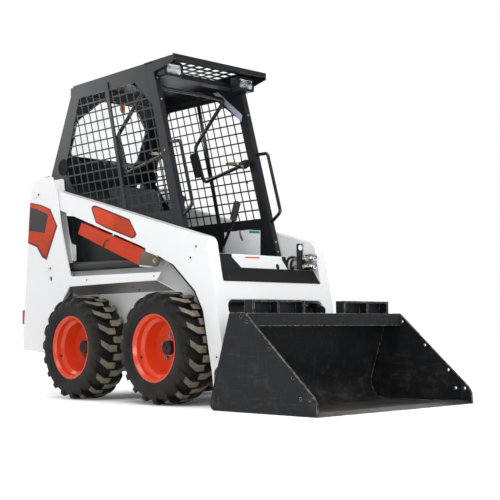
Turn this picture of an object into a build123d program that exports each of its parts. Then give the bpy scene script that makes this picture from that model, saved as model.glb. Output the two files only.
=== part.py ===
from build123d import *
import math
import os

# A compact skid steer loader: four driven wheels, two lift arms hinged high at the back, a cab
# between them, and a bucket on a quick-attach frame.
# Lengths are millimetres, angles degrees. X points forward, Y to the left, Z up.
# Every X below is measured from the middle of the wheelbase and Z from the ground. The
# pieces are moved by ORIGIN_SHIFT when saved, so that the origin is under the middle of the
# whole machine.

# Driving dimensions
WHEELBASE = 722
FRONT_REACH = 1503          # cutting edge, from the middle of the wheelbase
REAR_REACH = 1047           # rear door
CAB_TOP = 1814
GROUND_CLEARANCE = 142
BUCKET_WIDTH = 1118
TYRE_DIAMETER = 566
TYRE_WIDTH = 216
WHEEL_CENTRE_Y = 420        # middle of a tyre from the middle plane
RIM_RADIUS = 171
ORIGIN_SHIFT = -(FRONT_REACH - REAR_REACH) / 2

AXLE_X = WHEELBASE / 2
AXLE_Z = TYRE_DIAMETER / 2
HALF_BUCKET = BUCKET_WIDTH / 2

# Side layers, measured from the middle plane outwards
FRAME_INNER = 240
FRAME_WALL = 10
HUB_INNER = 372             # inner end of a wheel hub
SHAFT_RADIUS = 20
FRAME_OUTER = 300
CAB_HALF = 335
UPRIGHT_IN = (339, 345)     # inner plate of an upright
ARM_IN, ARM_OUT = 350, 417  # the two faces of a lift arm
UPRIGHT_OUT = (422, 430)    # outer plate of an upright
ARM_PLATE = 6
CYLINDER_Y = (ARM_IN + ARM_OUT) / 2

# Pivots as (x, z)
ARM_PIVOT = (-849, 1179)
LIFT_BASE = (-717, 736)
LIFT_EYE = (245, 726)
ATTACH_PIN = (758, 135)
TILT_BASE = (590, 605)
TILT_EYE = (799, 248)
SEAT_BAR_PIVOT = (215, 1310)
DOOR_HINGE = (-1010, -338)  # (x, y) of the upright door hinge
PIN_GAP = 0.4               # play of a pin in its bore
SEAT_GAP = 0.3              # between a piece and the one that carries it

SIDES = {"left": 1, "right": -1}


def save(name, shape):
    shape = Pos(ORIGIN_SHIFT, 0, 0) * shape
    shape.label = name
    export_step(shape, f"parts/{name}.step")


def block(x, y, z):
    """A box between pairs of limits."""
    size = [b - a for a, b in (x, y, z)]
    middle = [(a + b) / 2 for a, b in (x, y, z)]
    return Pos(*middle) * Box(*size)


def outline(points):
    """A closed X-Z outline. Each point is (x, z) or (x, z, corner radius)."""
    corners = [(p[0], p[1]) for p in points]
    radii = [p[2] if len(p) > 2 else 0 for p in points]
    return Plane.XZ * make_face(FilletPolyline(*corners, radius=radii, close=True))


def slab(points, y_low, y_high):
    """An X-Z outline made solid between two distances to the left."""
    return Pos(0, y_high, 0) * extrude(outline(points), amount=y_high - y_low)


def sided(side, points, near, far):
    """The same on one side of the machine, near and far from the middle plane."""
    low, high = sorted((side * near, side * far))
    return slab(points, low, high)


def pin(side, centre, radius, near, far):
    """A crosswise cylinder about (x, z), near and far from the middle plane."""
    length = far - near
    turn = Pos(centre[0], side * (near + far) / 2, centre[1]) * Rot(90, 0, 0)
    return turn * Cylinder(radius, length)


def tube(points, radius, corner):
    """A round bar along straight runs joined by bends."""
    path = FilletPolyline(*points, radius=corner)
    start = path.location_at(0)
    return sweep(start * Circle(radius), path=path)


def mirrored(shape):
    return shape + mirror(shape, about=Plane.XZ)


# Chassis

UPRIGHT_OUTLINE = [
    (-979, 265), (-897, 1225), (-822, 1264, 20), (-680, 1266, 25), (-638, 1190, 20),
    (-586, 970), (-489, 677, 25), (317, 667), (284, 628), (-497, 621), (-560, 550),
    (-655, 420), (-700, 300), (-757, 248, 15),
]
INNER_UPRIGHT_OUTLINE = [
    (-965, 300), (-893, 1225), (-822, 1262, 20), (-690, 1262, 20), (-662, 1045),
    (-600, 791), (-600, 600), (-660, 560), (-660, 300),
]
REAR_WEB_OUTLINE = [(-979, 265), (-910, 1080), (-902, 1080), (-970, 265)]
FLOOR_WEB_OUTLINE = [(-979, 265), (-970, 275), (-764, 262), (-757, 248)]


def main_frame():
    case = [
        (-655, 745), (-655, 200), (-610, 150), (540, 150, 20), (600, 230, 20), (600, 573, 15),
        (520, 573), (440, 745, 15),
    ]
    body = None
    for side in SIDES.values():
        wall = sided(side, case, FRAME_INNER, FRAME_OUTER)
        wall -= sided(side, [(-670, 760), (-670, 573), (610, 573), (610, 760)],
                      FRAME_INNER - 1, FRAME_OUTER - FRAME_WALL)
        wall += sided(side, [(-665, 150), (-665, 560), (-655, 560), (-655, 150)],
                      FRAME_INNER, UPRIGHT_IN[0])
        for axle_x in (AXLE_X, -AXLE_X):
            wall += pin(side, (axle_x, AXLE_Z), 78, FRAME_OUTER, FRAME_OUTER + 10)
            wall += pin(side, (axle_x, AXLE_Z), 52, FRAME_OUTER, HUB_INNER - 6)
            wall += pin(side, (axle_x, AXLE_Z), SHAFT_RADIUS, HUB_INNER - 6, HUB_INNER + 22)
        foot_x = front_edge(CAB_FLOOR_Z)
        wall += block((foot_x - 58, foot_x - 6), sorted((side * 292, side * 333)),
                      (728, CAB_FLOOR_Z - SEAT_GAP))
        body = wall if body is None else body + wall
    inner = (-FRAME_INNER, FRAME_INNER)
    body += block((-655, 540), inner, (GROUND_CLEARANCE + 8, GROUND_CLEARANCE + 18))
    body += block((530, 540), inner, (GROUND_CLEARANCE + 8, 573))
    body += block((-960, -655), (-UPRIGHT_IN[0], UPRIGHT_IN[0]), (256, 266))
    body += block((-665, -655), (-UPRIGHT_IN[0], UPRIGHT_IN[0]), (150, 266))
    toe = [(540, 573), (536, 600), (500, 762), (492, 758), (528, 573)]
    body += slab(toe, -289, 289)
    return body - pin(1, (509, 705), 11, 130, 152)


def pierced(plate, side, near, far):
    return plate - pin(side, (-686, 673), 14, near, far)


def upright(side):
    outer = pierced(sided(side, UPRIGHT_OUTLINE, *UPRIGHT_OUT), side, 415, 435)
    inner = sided(side, INNER_UPRIGHT_OUTLINE, *UPRIGHT_IN)
    web = sided(side, REAR_WEB_OUTLINE, UPRIGHT_IN[0], UPRIGHT_OUT[1])
    web += sided(side, FLOOR_WEB_OUTLINE, UPRIGHT_IN[0], UPRIGHT_OUT[1])
    body = outer + inner + web
    body += pin(side, ARM_PIVOT, 20, UPRIGHT_IN[0], UPRIGHT_OUT[1])
    body += pin(side, LIFT_BASE, 14, UPRIGHT_IN[0], UPRIGHT_OUT[1])
    for centre in (ARM_PIVOT, LIFT_BASE):
        body += pin(side, centre, 13, UPRIGHT_OUT[1], UPRIGHT_OUT[1] + 8)
    return body


def fender(side):
    """The bent sheet from the side rail in to the frame above the tyres."""
    section = [
        (UPRIGHT_OUT[0], 665), (UPRIGHT_OUT[0], 625), (FRAME_OUTER, 576), (FRAME_OUTER, 582),
        (UPRIGHT_OUT[0] - 6, 629), (UPRIGHT_OUT[0] - 6, 665),
    ]
    face = make_face(Polyline(*[(side * y, z) for y, z in section], close=True))
    sheet = extrude(Plane.YZ * face, amount=270 + 600)
    return Pos(-600, 0, 0) * sheet


def engine_block():
    return block((-900, -520), (-220, 220), (266, 900))


def engine_hood():
    top = [
        (-985, 930), (-862, 1262, 30), (-646, 1116), (-652, 1107), (-858, 1247, 24),
        (-974, 930),
    ]
    reach = UPRIGHT_IN[0] - SEAT_GAP
    hood = slab(top, -reach, reach)
    for z in (985, 1030, 1075, 1120, 1165):
        x = -985 + (z - 930) * 123 / 332
        hood -= block((x - 20, x + 30), (-240, 240), (z, z + 14))
    return hood


def engine_side_covers():
    low = 745 + SEAT_GAP
    cover = [(-652, low), (-652, 1040), (-570, 1010), (-486, low)]
    return mirrored(slab(cover, FRAME_OUTER, FRAME_OUTER + 6))


def rear_door():
    skin = [(-1003, 292), (-1035, 300, 14), (-REAR_REACH, 480, 20), (-REAR_REACH, 700, 20),
            (-1024, 925, 12), (-996, 925)]
    inside = [(-990, 304), (-1025, 312, 8), (-1037, 480, 14), (-1037, 700, 14),
              (-1015, 913, 8), (-980, 913)]
    door = slab(skin, -325, 325) - slab(inside, -313, 313)
    for z in range(520, 860, 34):
        door -= block((-1060, -1000), (-230, 230), (z, z + 14))
    hinge_x, hinge_y = DOOR_HINGE
    for z in (400, 780):
        door += Pos(hinge_x, hinge_y, z) * Cylinder(11, 60)
        door += block((hinge_x - 14, hinge_x - 4), (hinge_y, -320), (z - 30, z + 30))
        door -= Pos(hinge_x, hinge_y, z) * Cylinder(5 + PIN_GAP, 80)
    return door


def door_hinges():
    """Two posts on the right upright that carry the door."""
    hinge_x, hinge_y = DOOR_HINGE
    posts = []
    for z in (400, 780):
        rear_edge = -979 + (z - 265) * 69 / 815
        post = Pos(hinge_x, hinge_y, z - 16) * Cylinder(5, 94)
        foot = block((hinge_x - 9, rear_edge), (hinge_y - 9, hinge_y + 9), (z - 63, z - 36))
        posts.append(post + foot)
    return posts


def upright_rear(z):
    """The rear edge of the uprights."""
    return -979 + (z - 265) * 82 / 960


def tail_lamps():
    seat = SEAT_GAP
    lamp = [(-998, 416, 8), (-998, 499, 8), (upright_rear(499) - seat, 499),
            (upright_rear(416) - seat, 416)]
    return mirrored(slab(lamp, UPRIGHT_IN[1] + 10, UPRIGHT_OUT[0]))


# Cab

CAB_FRONT_LEAN = 0.285      # forward per unit down
CAB_REAR_LEAN = 0.4476      # backward per unit down
ROOF_REAR = (-603, 1797)
ROOF_FRONT = (130, 1806)
CAB_FLOOR_Z = 750
VISOR_Z = 1803
VISOR_REAR = -60
VISOR_FRONT = 314
VISOR_HOLE = 46             # side of a square hole in the visor
VISOR_PITCH = 60
PILLAR = 62
SKIN = 6.3                  # cab sheet and the gap behind it
SCREEN_BAR = 8              # width of a bar in the side screens
SCREEN_ROW = 57             # from one level bar to the next
SCREEN_COLUMN = 60.5        # from one leaning bar to the next
SCREEN_LOW = 1043           # height of the lowest level bar
SCREEN_REAR = -664          # rear edge of the rearmost leaning bar, at 1300 high


def front_edge(z):
    return 158 - CAB_FRONT_LEAN * (z - 1700)


def rear_edge(z):
    return ROOF_REAR[0] - CAB_REAR_LEAN * (ROOF_REAR[1] - z)


SIDE_OUTLINE = [
    ROOF_REAR, ROOF_FRONT, (front_edge(CAB_FLOOR_Z), CAB_FLOOR_Z), (-480, CAB_FLOOR_Z),
    (-640, 1150), (-835, 1280), (rear_edge(1338), 1338),
]
SIDE_WINDOW = [
    (rear_edge(1715) + 95, 1715, 14), (-20, 1715, 10), (front_edge(1560) - PILLAR - 6, 1570, 10),
    (front_edge(992) - PILLAR - 6, 992, 14), (-430, 992, 14), (-690, 1300, 14),
]


def front_pillar():
    post = [
        (front_edge(1798), 1798), (front_edge(CAB_FLOOR_Z), CAB_FLOOR_Z),
        (front_edge(CAB_FLOOR_Z) - PILLAR, CAB_FLOOR_Z), (front_edge(1798) - PILLAR, 1798),
    ]
    return slab(post, 300, CAB_HALF)


def cab_frame():
    beam = [(-640, 1744), (-640, 1790), (70, 1799), (98, 1735)]
    rear_post = [
        (rear_edge(1790), 1790), (rear_edge(1300), 1300), (rear_edge(1300) + 50, 1300),
        (rear_edge(1790) + 50, 1790),
    ]
    gusset = [(-100, 1735), (front_edge(1735) - 50, 1735), (front_edge(1560) - 50, 1560)]
    half = front_pillar() + slab(beam, 300, 328)
    half += slab(rear_post, 300, 328) + slab(gusset, 300, 306)
    half += pin(1, SEAT_BAR_PIVOT, 7, 270, 301)
    half += pin(1, SEAT_BAR_PIVOT, 20, 297, 301)
    frame = mirrored(half)
    roof = [(-603, 1797), (-597, 1790), (VISOR_REAR - 1, 1797), (VISOR_REAR - 1, 1803)]
    frame += slab(roof, -CAB_HALF + SKIN, CAB_HALF - SKIN)
    header = [(82, 1738), (82, 1768), (front_edge(1768), 1768), (front_edge(1738), 1738)]
    frame += slab(header, -CAB_HALF + SKIN, CAB_HALF - SKIN)
    rear_header = [(-622, 1753), (-604, 1794), (-560, 1794), (-578, 1753)]
    frame += slab(rear_header, -301, 301)
    return frame


def side_panel(side):
    """The sheet beside the operator, its window pierced so that a screen of bars is left."""
    skin = [
        (ROOF_REAR[0], ROOF_REAR[1] - 1), (front_edge(1804) - PILLAR - 1, 1804),
        (front_edge(CAB_FLOOR_Z) - PILLAR - 1, CAB_FLOOR_Z), (-480, CAB_FLOOR_Z), (-640, 1150),
        (-835, 1280), (rear_edge(1338), 1338),
    ]
    panel = sided(side, skin, CAB_HALF - 6, CAB_HALF)
    panel -= sided(side, SIDE_WINDOW, CAB_HALF - 10, CAB_HALF + 5)
    grid_limit = sided(side, SIDE_WINDOW, CAB_HALF - 4, CAB_HALF - 1)
    layer = sorted((side * 331, side * 333))
    level_bars = [
        block((-720, 350), layer, (z - SCREEN_BAR / 2, z + SCREEN_BAR / 2))
        for z in [SCREEN_LOW + SCREEN_ROW * i for i in range(12)]
    ]
    leaning_bars = []
    for i in range(15):
        low, high = [SCREEN_REAR + SCREEN_COLUMN * i - CAB_FRONT_LEAN * (z - 1300)
                     for z in (980, 1730)]
        bar = [(low, 980), (low + SCREEN_BAR, 980), (high + SCREEN_BAR, 1730), (high, 1730)]
        leaning_bars.append(sided(side, bar, 331, 333))
    screen = leaning_bars[0] + (leaning_bars[1:] + level_bars)
    panel += screen & grid_limit
    rib = [(-290, 1760), (-264, 1760), (-75, 985), (-101, 985)]
    return panel + sided(side, rib, CAB_HALF - 1, CAB_HALF + 6)


def rear_wall(half, thickness, inset):
    """A sheet on the leaning back of the cab, its outline as half of (y, z, radius)."""
    stretch = math.hypot(1, CAB_REAR_LEAN)
    slope = Plane(origin=(rear_edge(0) + inset, 0, 0), x_dir=(0, 1, 0),
                  z_dir=(-1 / stretch, 0, CAB_REAR_LEAN / stretch))
    points = half + [(-y, z, r) for y, z, r in reversed(half)]
    wire = FilletPolyline(*[(y, -z * stretch) for y, z, r in points],
                          radius=[r for y, z, r in points], close=True)
    return extrude(slope * make_face(wire), amount=thickness)


def rear_sheet():
    return [(299.7, 1262, 0), (299.7, 1750, 0)]


def rear_window(margin):
    return [
        (245 + margin, 1405 - margin, 30), (255 + margin, 1600, 60),
        (120 + margin / 2, 1750 - 24 + margin, 60),
    ]


def control_lever(side):
    y = side * 200
    stem = tube([(96, y, 710 + SEAT_GAP), (96, y, 840), (180, y, 974), (196, y, 1019)], 9, 30)
    grip = Plane(origin=(180, y, 981), z_dir=(0.35, 0, 0.94)) * Cylinder(
        18, 108, align=(Align.CENTER, Align.CENTER, Align.MIN))
    return stem + fillet(grip.edges(), 7)


def cab_floor():
    floor = [
        (524, 576), (150, 576), (110, 700), (-470, 700), (-500, 1010), (-628, 1111),
        (-822, 1264), (-816, 1271), (-622, 1119), (-488, 1015), (-461, 710), (117, 710),
        (157, 586), (524, 586),
    ]
    reach = FRAME_OUTER - FRAME_WALL - SEAT_GAP
    return slab(floor, -reach, reach)


def seat_bar():
    pivot_x, pivot_z = SEAT_BAR_PIVOT
    loop = [(pivot_x, 286, pivot_z), (-162, 286, 1236), (-241, 286, 1455), (27, 286, 1702),
            (27, -286, 1702), (-241, -286, 1455), (-162, -286, 1236), (pivot_x, -286, pivot_z)]
    bar = tube(loop, 11, 38)
    for side in SIDES.values():
        bar += pin(side, SEAT_BAR_PIVOT, 17, 274, 296)
        bar -= pin(side, SEAT_BAR_PIVOT, 7 + PIN_GAP, 260, 297)
        pad = [(-216, 1270, 12), (-180, 1284, 12), (-229, 1420, 12), (-265, 1407, 12)]
        bar += sided(side, pad, 262, 296)
    return bar


def grab_handles():
    handle = tube([(front_edge(1355) - 20, 318, 1355), (341, 318, 1352), (438, 318, 1014),
                   (front_edge(964) - 12, 318, 955)], 9.5, 26)
    return mirrored(handle - front_pillar())


def headlamps():
    """A square pod under each end of the visor, its lens set back in the front."""
    lamp = block((168, 228), (200, 327), (1716, 1795))
    lamp = fillet(lamp.edges().filter_by(Axis.X), 16)
    lens_pocket = block((222, 230), (207, 320), (1723, 1788))
    lamp -= fillet(lens_pocket.edges().filter_by(Axis.X), 12)
    lamp += block((180, 205), (250, 285), (1790, 1800.9))
    return mirrored(lamp)


def visor():
    """The pierced sheet over the front of the cab, with a lip and two side cheeks."""
    sheet = [(VISOR_REAR, 1798), (VISOR_REAR, 1803), (VISOR_FRONT, VISOR_Z + 5),
             (VISOR_FRONT, VISOR_Z)]
    step = front_edge(1798) - PILLAR
    plate = slab(sheet, -339, 339)
    plate -= mirrored(block((VISOR_REAR - 1, step), (CAB_HALF - SKIN, 345), (1790, 1815)))
    plate -= block((VISOR_REAR + 10, VISOR_FRONT - 80), (-215, 215), (1790, 1800.5))
    plate += block((VISOR_FRONT - 6, VISOR_FRONT), (-339, 339), (1787, CAB_TOP))
    cheek = [(front_edge(1798) + 4, 1801), (VISOR_FRONT, 1804), (VISOR_FRONT, 1776), (229, 1756),
             (front_edge(1745) + 4, 1745)]
    for side in SIDES.values():
        plate += sided(side, cheek, 333, 339)
    holes = [
        block((x - VISOR_HOLE / 2, x + VISOR_HOLE / 2),
              (y - VISOR_HOLE / 2, y + VISOR_HOLE / 2), (1790, 1815))
        for x in range(198, -60, -VISOR_PITCH)
        for y in range(-180, 181, VISOR_PITCH)
    ]
    return plate - holes


# Lift arms and their pieces

def leg_front(z):
    return 768 - 0.2 * (z - 260)


ARM_OUTLINE = [
    (-889, 1219, 38), (-700, 1195), (leg_front(822), 822, 55), (leg_front(72), 72, 45),
    (699, 72, 45), (688, 163), (625, 466, 60), (565, 566, 60), (400, 701, 60), (134, 813),
    (-640, 1073), (-889, 1139, 38),
]
ARM_WALL = (-9, -9)


def lift_arm(side):
    arm = sided(side, ARM_OUTLINE, ARM_IN, ARM_OUT)
    cavity = Pos(ARM_WALL[0], 0, ARM_WALL[1]) * sided(
        side, ARM_OUTLINE, ARM_IN + ARM_PLATE, ARM_OUT - ARM_PLATE)
    cavity -= pin(side, ARM_PIVOT, 39, ARM_IN, ARM_OUT)
    cavity -= pin(side, ATTACH_PIN, 42, ARM_IN, ARM_OUT)
    arm -= cavity
    lug = [(190, 830), (262, 795), (275, 704, 18), (222, 694, 18), (122, 706), (174, 787)]
    arm += sided(side, lug, ARM_IN, ARM_IN + ARM_PLATE)
    arm += sided(side, lug, ARM_OUT - ARM_PLATE, ARM_OUT)
    arm -= pin(side, ARM_PIVOT, 20 + PIN_GAP, ARM_IN - 5, ARM_OUT + 5)
    arm -= pin(side, ATTACH_PIN, 15 + PIN_GAP, ARM_IN - 5, ARM_OUT + 5)
    return arm


def slot_prism(grow):
    """The long rounded slot of the apron, through it from front to back."""
    face = RectangleRounded(2 * (ARM_IN - 9 + grow), 86 + 2 * grow, 36 + grow)
    place = Plane(origin=(660, 0, 463), x_dir=(0, 1, 0), z_dir=(1, 0, 0.2))
    return extrude(place * face, amount=90)


def arm_crossmember():
    section = [(leg_front(515), 515, 8), (leg_front(608), 608), (648, 676), (606, 676),
               (606, 668), (630, 668), (690, 515)]
    inside = [(708, 523), (690, 604), (646, 664), (642, 660), (694, 523)]
    beam = slab(section, -ARM_IN, ARM_IN) - slab(inside, -ARM_IN + 10, ARM_IN - 10)
    lug = [(648, 660), (TILT_BASE[0], 634, 27), (TILT_BASE[0] - 28, 604, 27), (596, 576, 27),
           (680, 560)]
    for side in SIDES.values():
        beam += sided(side, lug, 30, 40)
    beam += pin(1, TILT_BASE, 14, -40, 40)
    apron = [(leg_front(517), 517), (leg_front(392), 392), (leg_front(392) - 8, 392),
             (leg_front(517) - 8, 517)]
    slot = slot_prism(0)
    rim = slot_prism(5) & slab([(640, 520), (leg_front(520) - 0.2, 520),
                                (leg_front(400) - 0.2, 400), (640, 400)], -ARM_IN, ARM_IN)
    beam += slab(apron, -ARM_IN, ARM_IN) + (rim & block((660, 780), (-ARM_IN, ARM_IN), (400, 515)))
    beam -= slot
    beam -= block((600, leg_front(515) - 11), (-62, 62), (380, 515.2))
    return beam - block((600, 800), (-62, 62), (380, 460))


def step_tread():
    tread = [(698.7, 608.2), (648.1, 676.3), (606, 676.3), (606, 681.3), (650.7, 681.3, 8),
             (702.7, 611.2)]
    return slab(tread, -344, 344)


def hydraulic_couplers():
    plate = block((545, 553), (300, ARM_IN), (690, 846))
    plate -= Pos(549, 322, 818) * Rot(0, 90, 0) * Cylinder(15, 20)
    body = block((553, 600), (296, ARM_IN), (694, 760))
    for z in (712, 744):
        body += Pos(640, 322, z) * Rot(0, 90, 0) * Cylinder(15, 90)
        body += Pos(610, 322, z) * Rot(0, 90, 0) * Cylinder(20, 30)
    return plate + body


def arm_support():
    """The bright channel stowed under the right arm, which props the raised arms."""
    side = SIDES["right"]
    outer = [(-402, 975), (165, 790), (114, 712), (-436, 915)]
    inner = [(-398, 969), (190, 777), (130, 680), (-440, 903)]
    channel = sided(side, outer, ARM_IN + 1, ARM_OUT - 1)
    channel -= sided(side, inner, ARM_IN + 5, ARM_OUT - 5)
    rod_room = sorted((side * (CYLINDER_Y - 24), side * (CYLINDER_Y + 24)))
    channel -= block((48, 200), rod_room, (700, 830))
    for x in (-300, 0):
        top = 975 - (x + 402) * 185 / 567
        hanger = [(x, top - 4), (x + 40, top - 17), (x + 40, top + 40), (x, top + 52)]
        channel += sided(side, hanger, CYLINDER_Y - 12, CYLINDER_Y + 12)
        channel += pin(side, (x + 20, top + 32), 8, ARM_IN + ARM_PLATE, ARM_OUT - ARM_PLATE)
    return channel


def cylinder_frame(base, eye, y):
    """A frame at the base pin whose Z runs to the rod's eye."""
    along = (eye[0] - base[0], 0, eye[1] - base[1])
    return Plane(origin=(base[0], y, base[1]), x_dir=(0, 1, 0), z_dir=along)


def reach(base, eye):
    return math.hypot(eye[0] - base[0], eye[1] - base[1])


UPWARD = (Align.CENTER, Align.CENTER, Align.MIN)
TILT_RETRACT = 47           # how far the tilt rod still goes in from where it parks


def barrel(base, eye, y, radius, rod_radius, pin_radius, eye_width, retract=0):
    length = reach(base, eye) - max(72, retract + 38)
    body = Pos(0, 0, 26) * Cylinder(radius, length - 26, align=UPWARD)
    body += Rot(0, 90, 0) * Cylinder(radius + 2, eye_width)
    body -= Pos(0, 0, 60) * Cylinder(radius - 7, length - 90, align=UPWARD)
    body -= Pos(0, 0, 60) * Cylinder(rod_radius + PIN_GAP, length, align=UPWARD)
    body -= Rot(0, 90, 0) * Cylinder(pin_radius + PIN_GAP, eye_width + 10)
    return cylinder_frame(base, eye, y) * body


def rod(base, eye, y, rod_radius, eye_radius, eye_width, retract=0):
    length = reach(base, eye)
    start = 70 + retract
    body = Pos(0, 0, start) * Cylinder(rod_radius, length - start, align=UPWARD)
    body += Pos(0, 0, length) * Rot(0, 90, 0) * Cylinder(eye_radius, eye_width)
    return cylinder_frame(base, eye, y) * body


# Quick-attach frame and bucket

BACK_LEAN = 0.362           # forward per unit up, of the back of the bucket
SHEET = 8


def back_x(z):
    return 818 + BACK_LEAN * z


def quick_attach():
    gap = SHEET / 8
    depth = 13
    plate = [(back_x(62) - gap, 62), (back_x(425) - gap, 425), (back_x(425) - gap - depth, 425),
             (back_x(62) - gap - depth, 62)]
    frame = slab(plate, -440, 440)
    for y in (0, 230, -230):
        wide = 52 if y == 0 else 70
        frame -= block((700, 1050), (y - wide, y + wide), (120, 370))
    lug = [(back_x(70) - 8, 70), (back_x(330) - 8, 330), (back_x(330) - 40, 330),
           (ATTACH_PIN[0] - 38, ATTACH_PIN[1] + 40, 38), (ATTACH_PIN[0] - 38, ATTACH_PIN[1] - 40, 38)]
    crank = [(back_x(120) - 8, 120), (back_x(380) - 8, 380), (back_x(380) - 40, 380),
             (TILT_EYE[0] - 30, TILT_EYE[1] + 34, 26), (TILT_EYE[0] - 30, TILT_EYE[1] - 34, 26)]
    for side in SIDES.values():
        frame += sided(side, lug, 335, 345) + sided(side, lug, 422, 432)
        frame += pin(side, ATTACH_PIN, 15, 335, 432)
        frame += sided(side, crank, 53, 63)
    return frame


def attach_levers():
    levers = None
    for side in SIDES.values():
        y = side * 96
        lever = tube([(back_x(405) - 22.8, y, 405), (back_x(440) - 22.8, y, 470),
                      (back_x(440) - 10, side * 40, 486)], 8, 18)
        levers = lever if levers is None else levers + lever
    return levers


CUTTER_HOLES = [(1045, 428), (1084, 405), (1225, 284), (1365, 162), (1408, 74), (1461, 74)]
CUTTER_HOLE_RADIUS = 7


def bucket():
    shell = [
        (1385, 0), (back_x(0), 0, 100), (back_x(445), 445, 6), (1078, 445, 5), (1078, 385),
        (1070, 385), (1070, 437), (back_x(437) + SHEET + 1, 437), (back_x(SHEET) + SHEET + 1, SHEET, 92),
        (1385, SHEET),
    ]
    body = slab(shell, -HALF_BUCKET + 10, HALF_BUCKET - 10)
    cheek = [(818, 0, 34), (968, 447, 12), (1066, 447, 20), (1480, 86, 30), (1500, 55), (FRONT_REACH, 0)]
    for side in SIDES.values():
        plate = sided(side, cheek, HALF_BUCKET - 10, HALF_BUCKET)
        for hole in CUTTER_HOLES:
            plate -= pin(side, hole, CUTTER_HOLE_RADIUS, HALF_BUCKET - 15, HALF_BUCKET + 5)
        body += plate
        near, far = (142, 485)
        body += block((990, 1046), sorted((side * near, side * far)), (499, 507))
        body += block((990, 998), sorted((side * near, side * far)), (445, 507))
        for y in (near, (near + far) / 2, far - 12):
            body += block((990, 1046), sorted((side * y, side * (y + 12))), (445, 507))
    return body


def cutting_edge():
    edge = [(1385.5, 0), (FRONT_REACH, 0), (FRONT_REACH, 3), (FRONT_REACH - 40, 16), (1385.5, 16)]
    return slab(edge, -HALF_BUCKET + 10.5, HALF_BUCKET - 10.5)


# Wheels, about the Y axis, outer face towards +Y

def ring(section):
    """A body of revolution about Y from points (distance along Y, radius)."""
    return revolve(make_face(Polyline(*[(r, y, 0) for y, r in section], close=True)), Axis.Y, 360)


def rim():
    barrel_out, barrel_in = RIM_HALF, -RIM_HALF
    section = [
        (barrel_out, RIM_RADIUS), (barrel_out, 163), (82, 152), (58, 149), (44, 132), (-20, 126),
        (-26, 40), (-36, 40), (-36, 134), (-70, 150), (-84, 153), (barrel_in, 164),
        (barrel_in, RIM_RADIUS), (-88, RIM_RADIUS - 1), (-80, 159), (-62, 157), (-34, 140),
        (42, 139), (54, 156), (80, 158), (88, RIM_RADIUS - 1),
    ]
    body = ring(section)
    hub_end = HUB_INNER - WHEEL_CENTRE_Y
    hub = Pos(0, hub_end + 17, 0) * Rot(90, 0, 0) * Cylinder(46, 34)
    cap = Pos(0, -2, 0) * Rot(90, 0, 0) * Cylinder(32, 26)
    body += hub + cap
    body -= Pos(0, hub_end, 0) * Rot(90, 0, 0) * Cylinder(SHAFT_RADIUS + SEAT_GAP, 46)
    for i in range(5):
        turn = Rot(0, i * 72, 0) * Pos(0, -21, 62) * Rot(90, 0, 0)
        body += turn * Cylinder(11, 14)
    return body


LUGS = 19                   # on each half of the tread
LUG_WIDTH = 34
LUG_START = 19              # forward shift of a lug's inner end
LUG_LEAN = 38               # how far a lug leans back on its way to the shoulder
TREAD_FLOOR = 255           # radius between the lugs
TREAD_EDGE = 90             # from the middle of the tyre to where the shoulder starts
SIDEWALL_RADIUS = 222
RIM_HALF = 96


def flat_ring(rows):
    """A ring with one flat side per lug, through rows of (distance along Y, distance of a flat)."""
    return loft([
        Plane((0, y, 0), x_dir=(1, 0, 0), z_dir=(0, 1, 0)) * RegularPolygon(
            flat, LUGS, major_radius=False, rotation=90)
        for y, flat in rows
    ], ruled=True)


def tyre_half():
    """From the middle plane outwards. Each lug stands on its own flat, leaning back."""
    side, bore = TYRE_WIDTH / 2, RIM_RADIUS + 0.4
    body = flat_ring([(0, TREAD_FLOOR), (TREAD_EDGE, TREAD_FLOOR), (side, SIDEWALL_RADIUS)])
    body -= flat_ring([(-1, bore), (side + 1, bore)])
    flare = (SIDEWALL_RADIUS - bore) / (side - RIM_HALF)
    body -= flat_ring([(RIM_HALF, bore), (side + 5, SIDEWALL_RADIUS + 5 * flare)])
    front, back = LUG_START + LUG_WIDTH / 2, LUG_START - LUG_WIDTH / 2
    top = math.sqrt(AXLE_Z ** 2 - front ** 2)
    plan = Polyline((back, 0), (front, 0), (front - LUG_LEAN, side), (back - LUG_LEAN, side),
                    close=True)
    across = Polyline((0, 240), (0, top), (TREAD_EDGE - 4, top), (side, SIDEWALL_RADIUS),
                      (60, SIDEWALL_RADIUS), close=True)
    lug = Pos(0, 0, 200) * extrude(make_face(plan), amount=100)
    lug &= Pos(-100, 0, 0) * extrude(Plane.YZ * make_face(across), amount=200)
    return body + [Rot(0, 360 / LUGS * i, 0) * lug for i in range(LUGS)]


def tyre():
    """Both halves, half a lug apart, turned so that a lug's leading corner is on the ground."""
    half = tyre_half()
    whole = half + Rot(0, 180 / LUGS, 0) * mirror(half, about=Plane.XZ)
    corner = math.degrees(math.asin((LUG_START + LUG_WIDTH / 2) / AXLE_Z))
    return Rot(0, 180 - 360 / LUGS * (LUGS // 2) - corner, 0) * whole


def wheel_place(side, front):
    x = AXLE_X if front else -AXLE_X
    return Pos(x, side * WHEEL_CENTRE_Y, AXLE_Z) * Rot(0, 0, 0 if side > 0 else 180)


os.makedirs("parts", exist_ok=True)

save("main_frame", main_frame())
save("engine_block", engine_block())
save("engine_hood", engine_hood())
save("engine_side_covers", engine_side_covers())
save("rear_door", rear_door())
save("tail_lamps", tail_lamps())

hinge_posts = door_hinges()
for side_name, side in SIDES.items():
    post = upright(side)
    if side < 0:
        post += hinge_posts
    save(f"upright_{side_name}", post)
    save(f"fender_{side_name}", fender(side))
    save(f"side_panel_{side_name}", side_panel(side))
    save(f"lift_arm_{side_name}", lift_arm(side))
    y = side * CYLINDER_Y
    save(f"lift_barrel_{side_name}", barrel(LIFT_BASE, LIFT_EYE, y, 26, 15, 14, 56))
    save(f"lift_rod_{side_name}", rod(LIFT_BASE, LIFT_EYE, y, 15, 26, 44))

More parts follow.
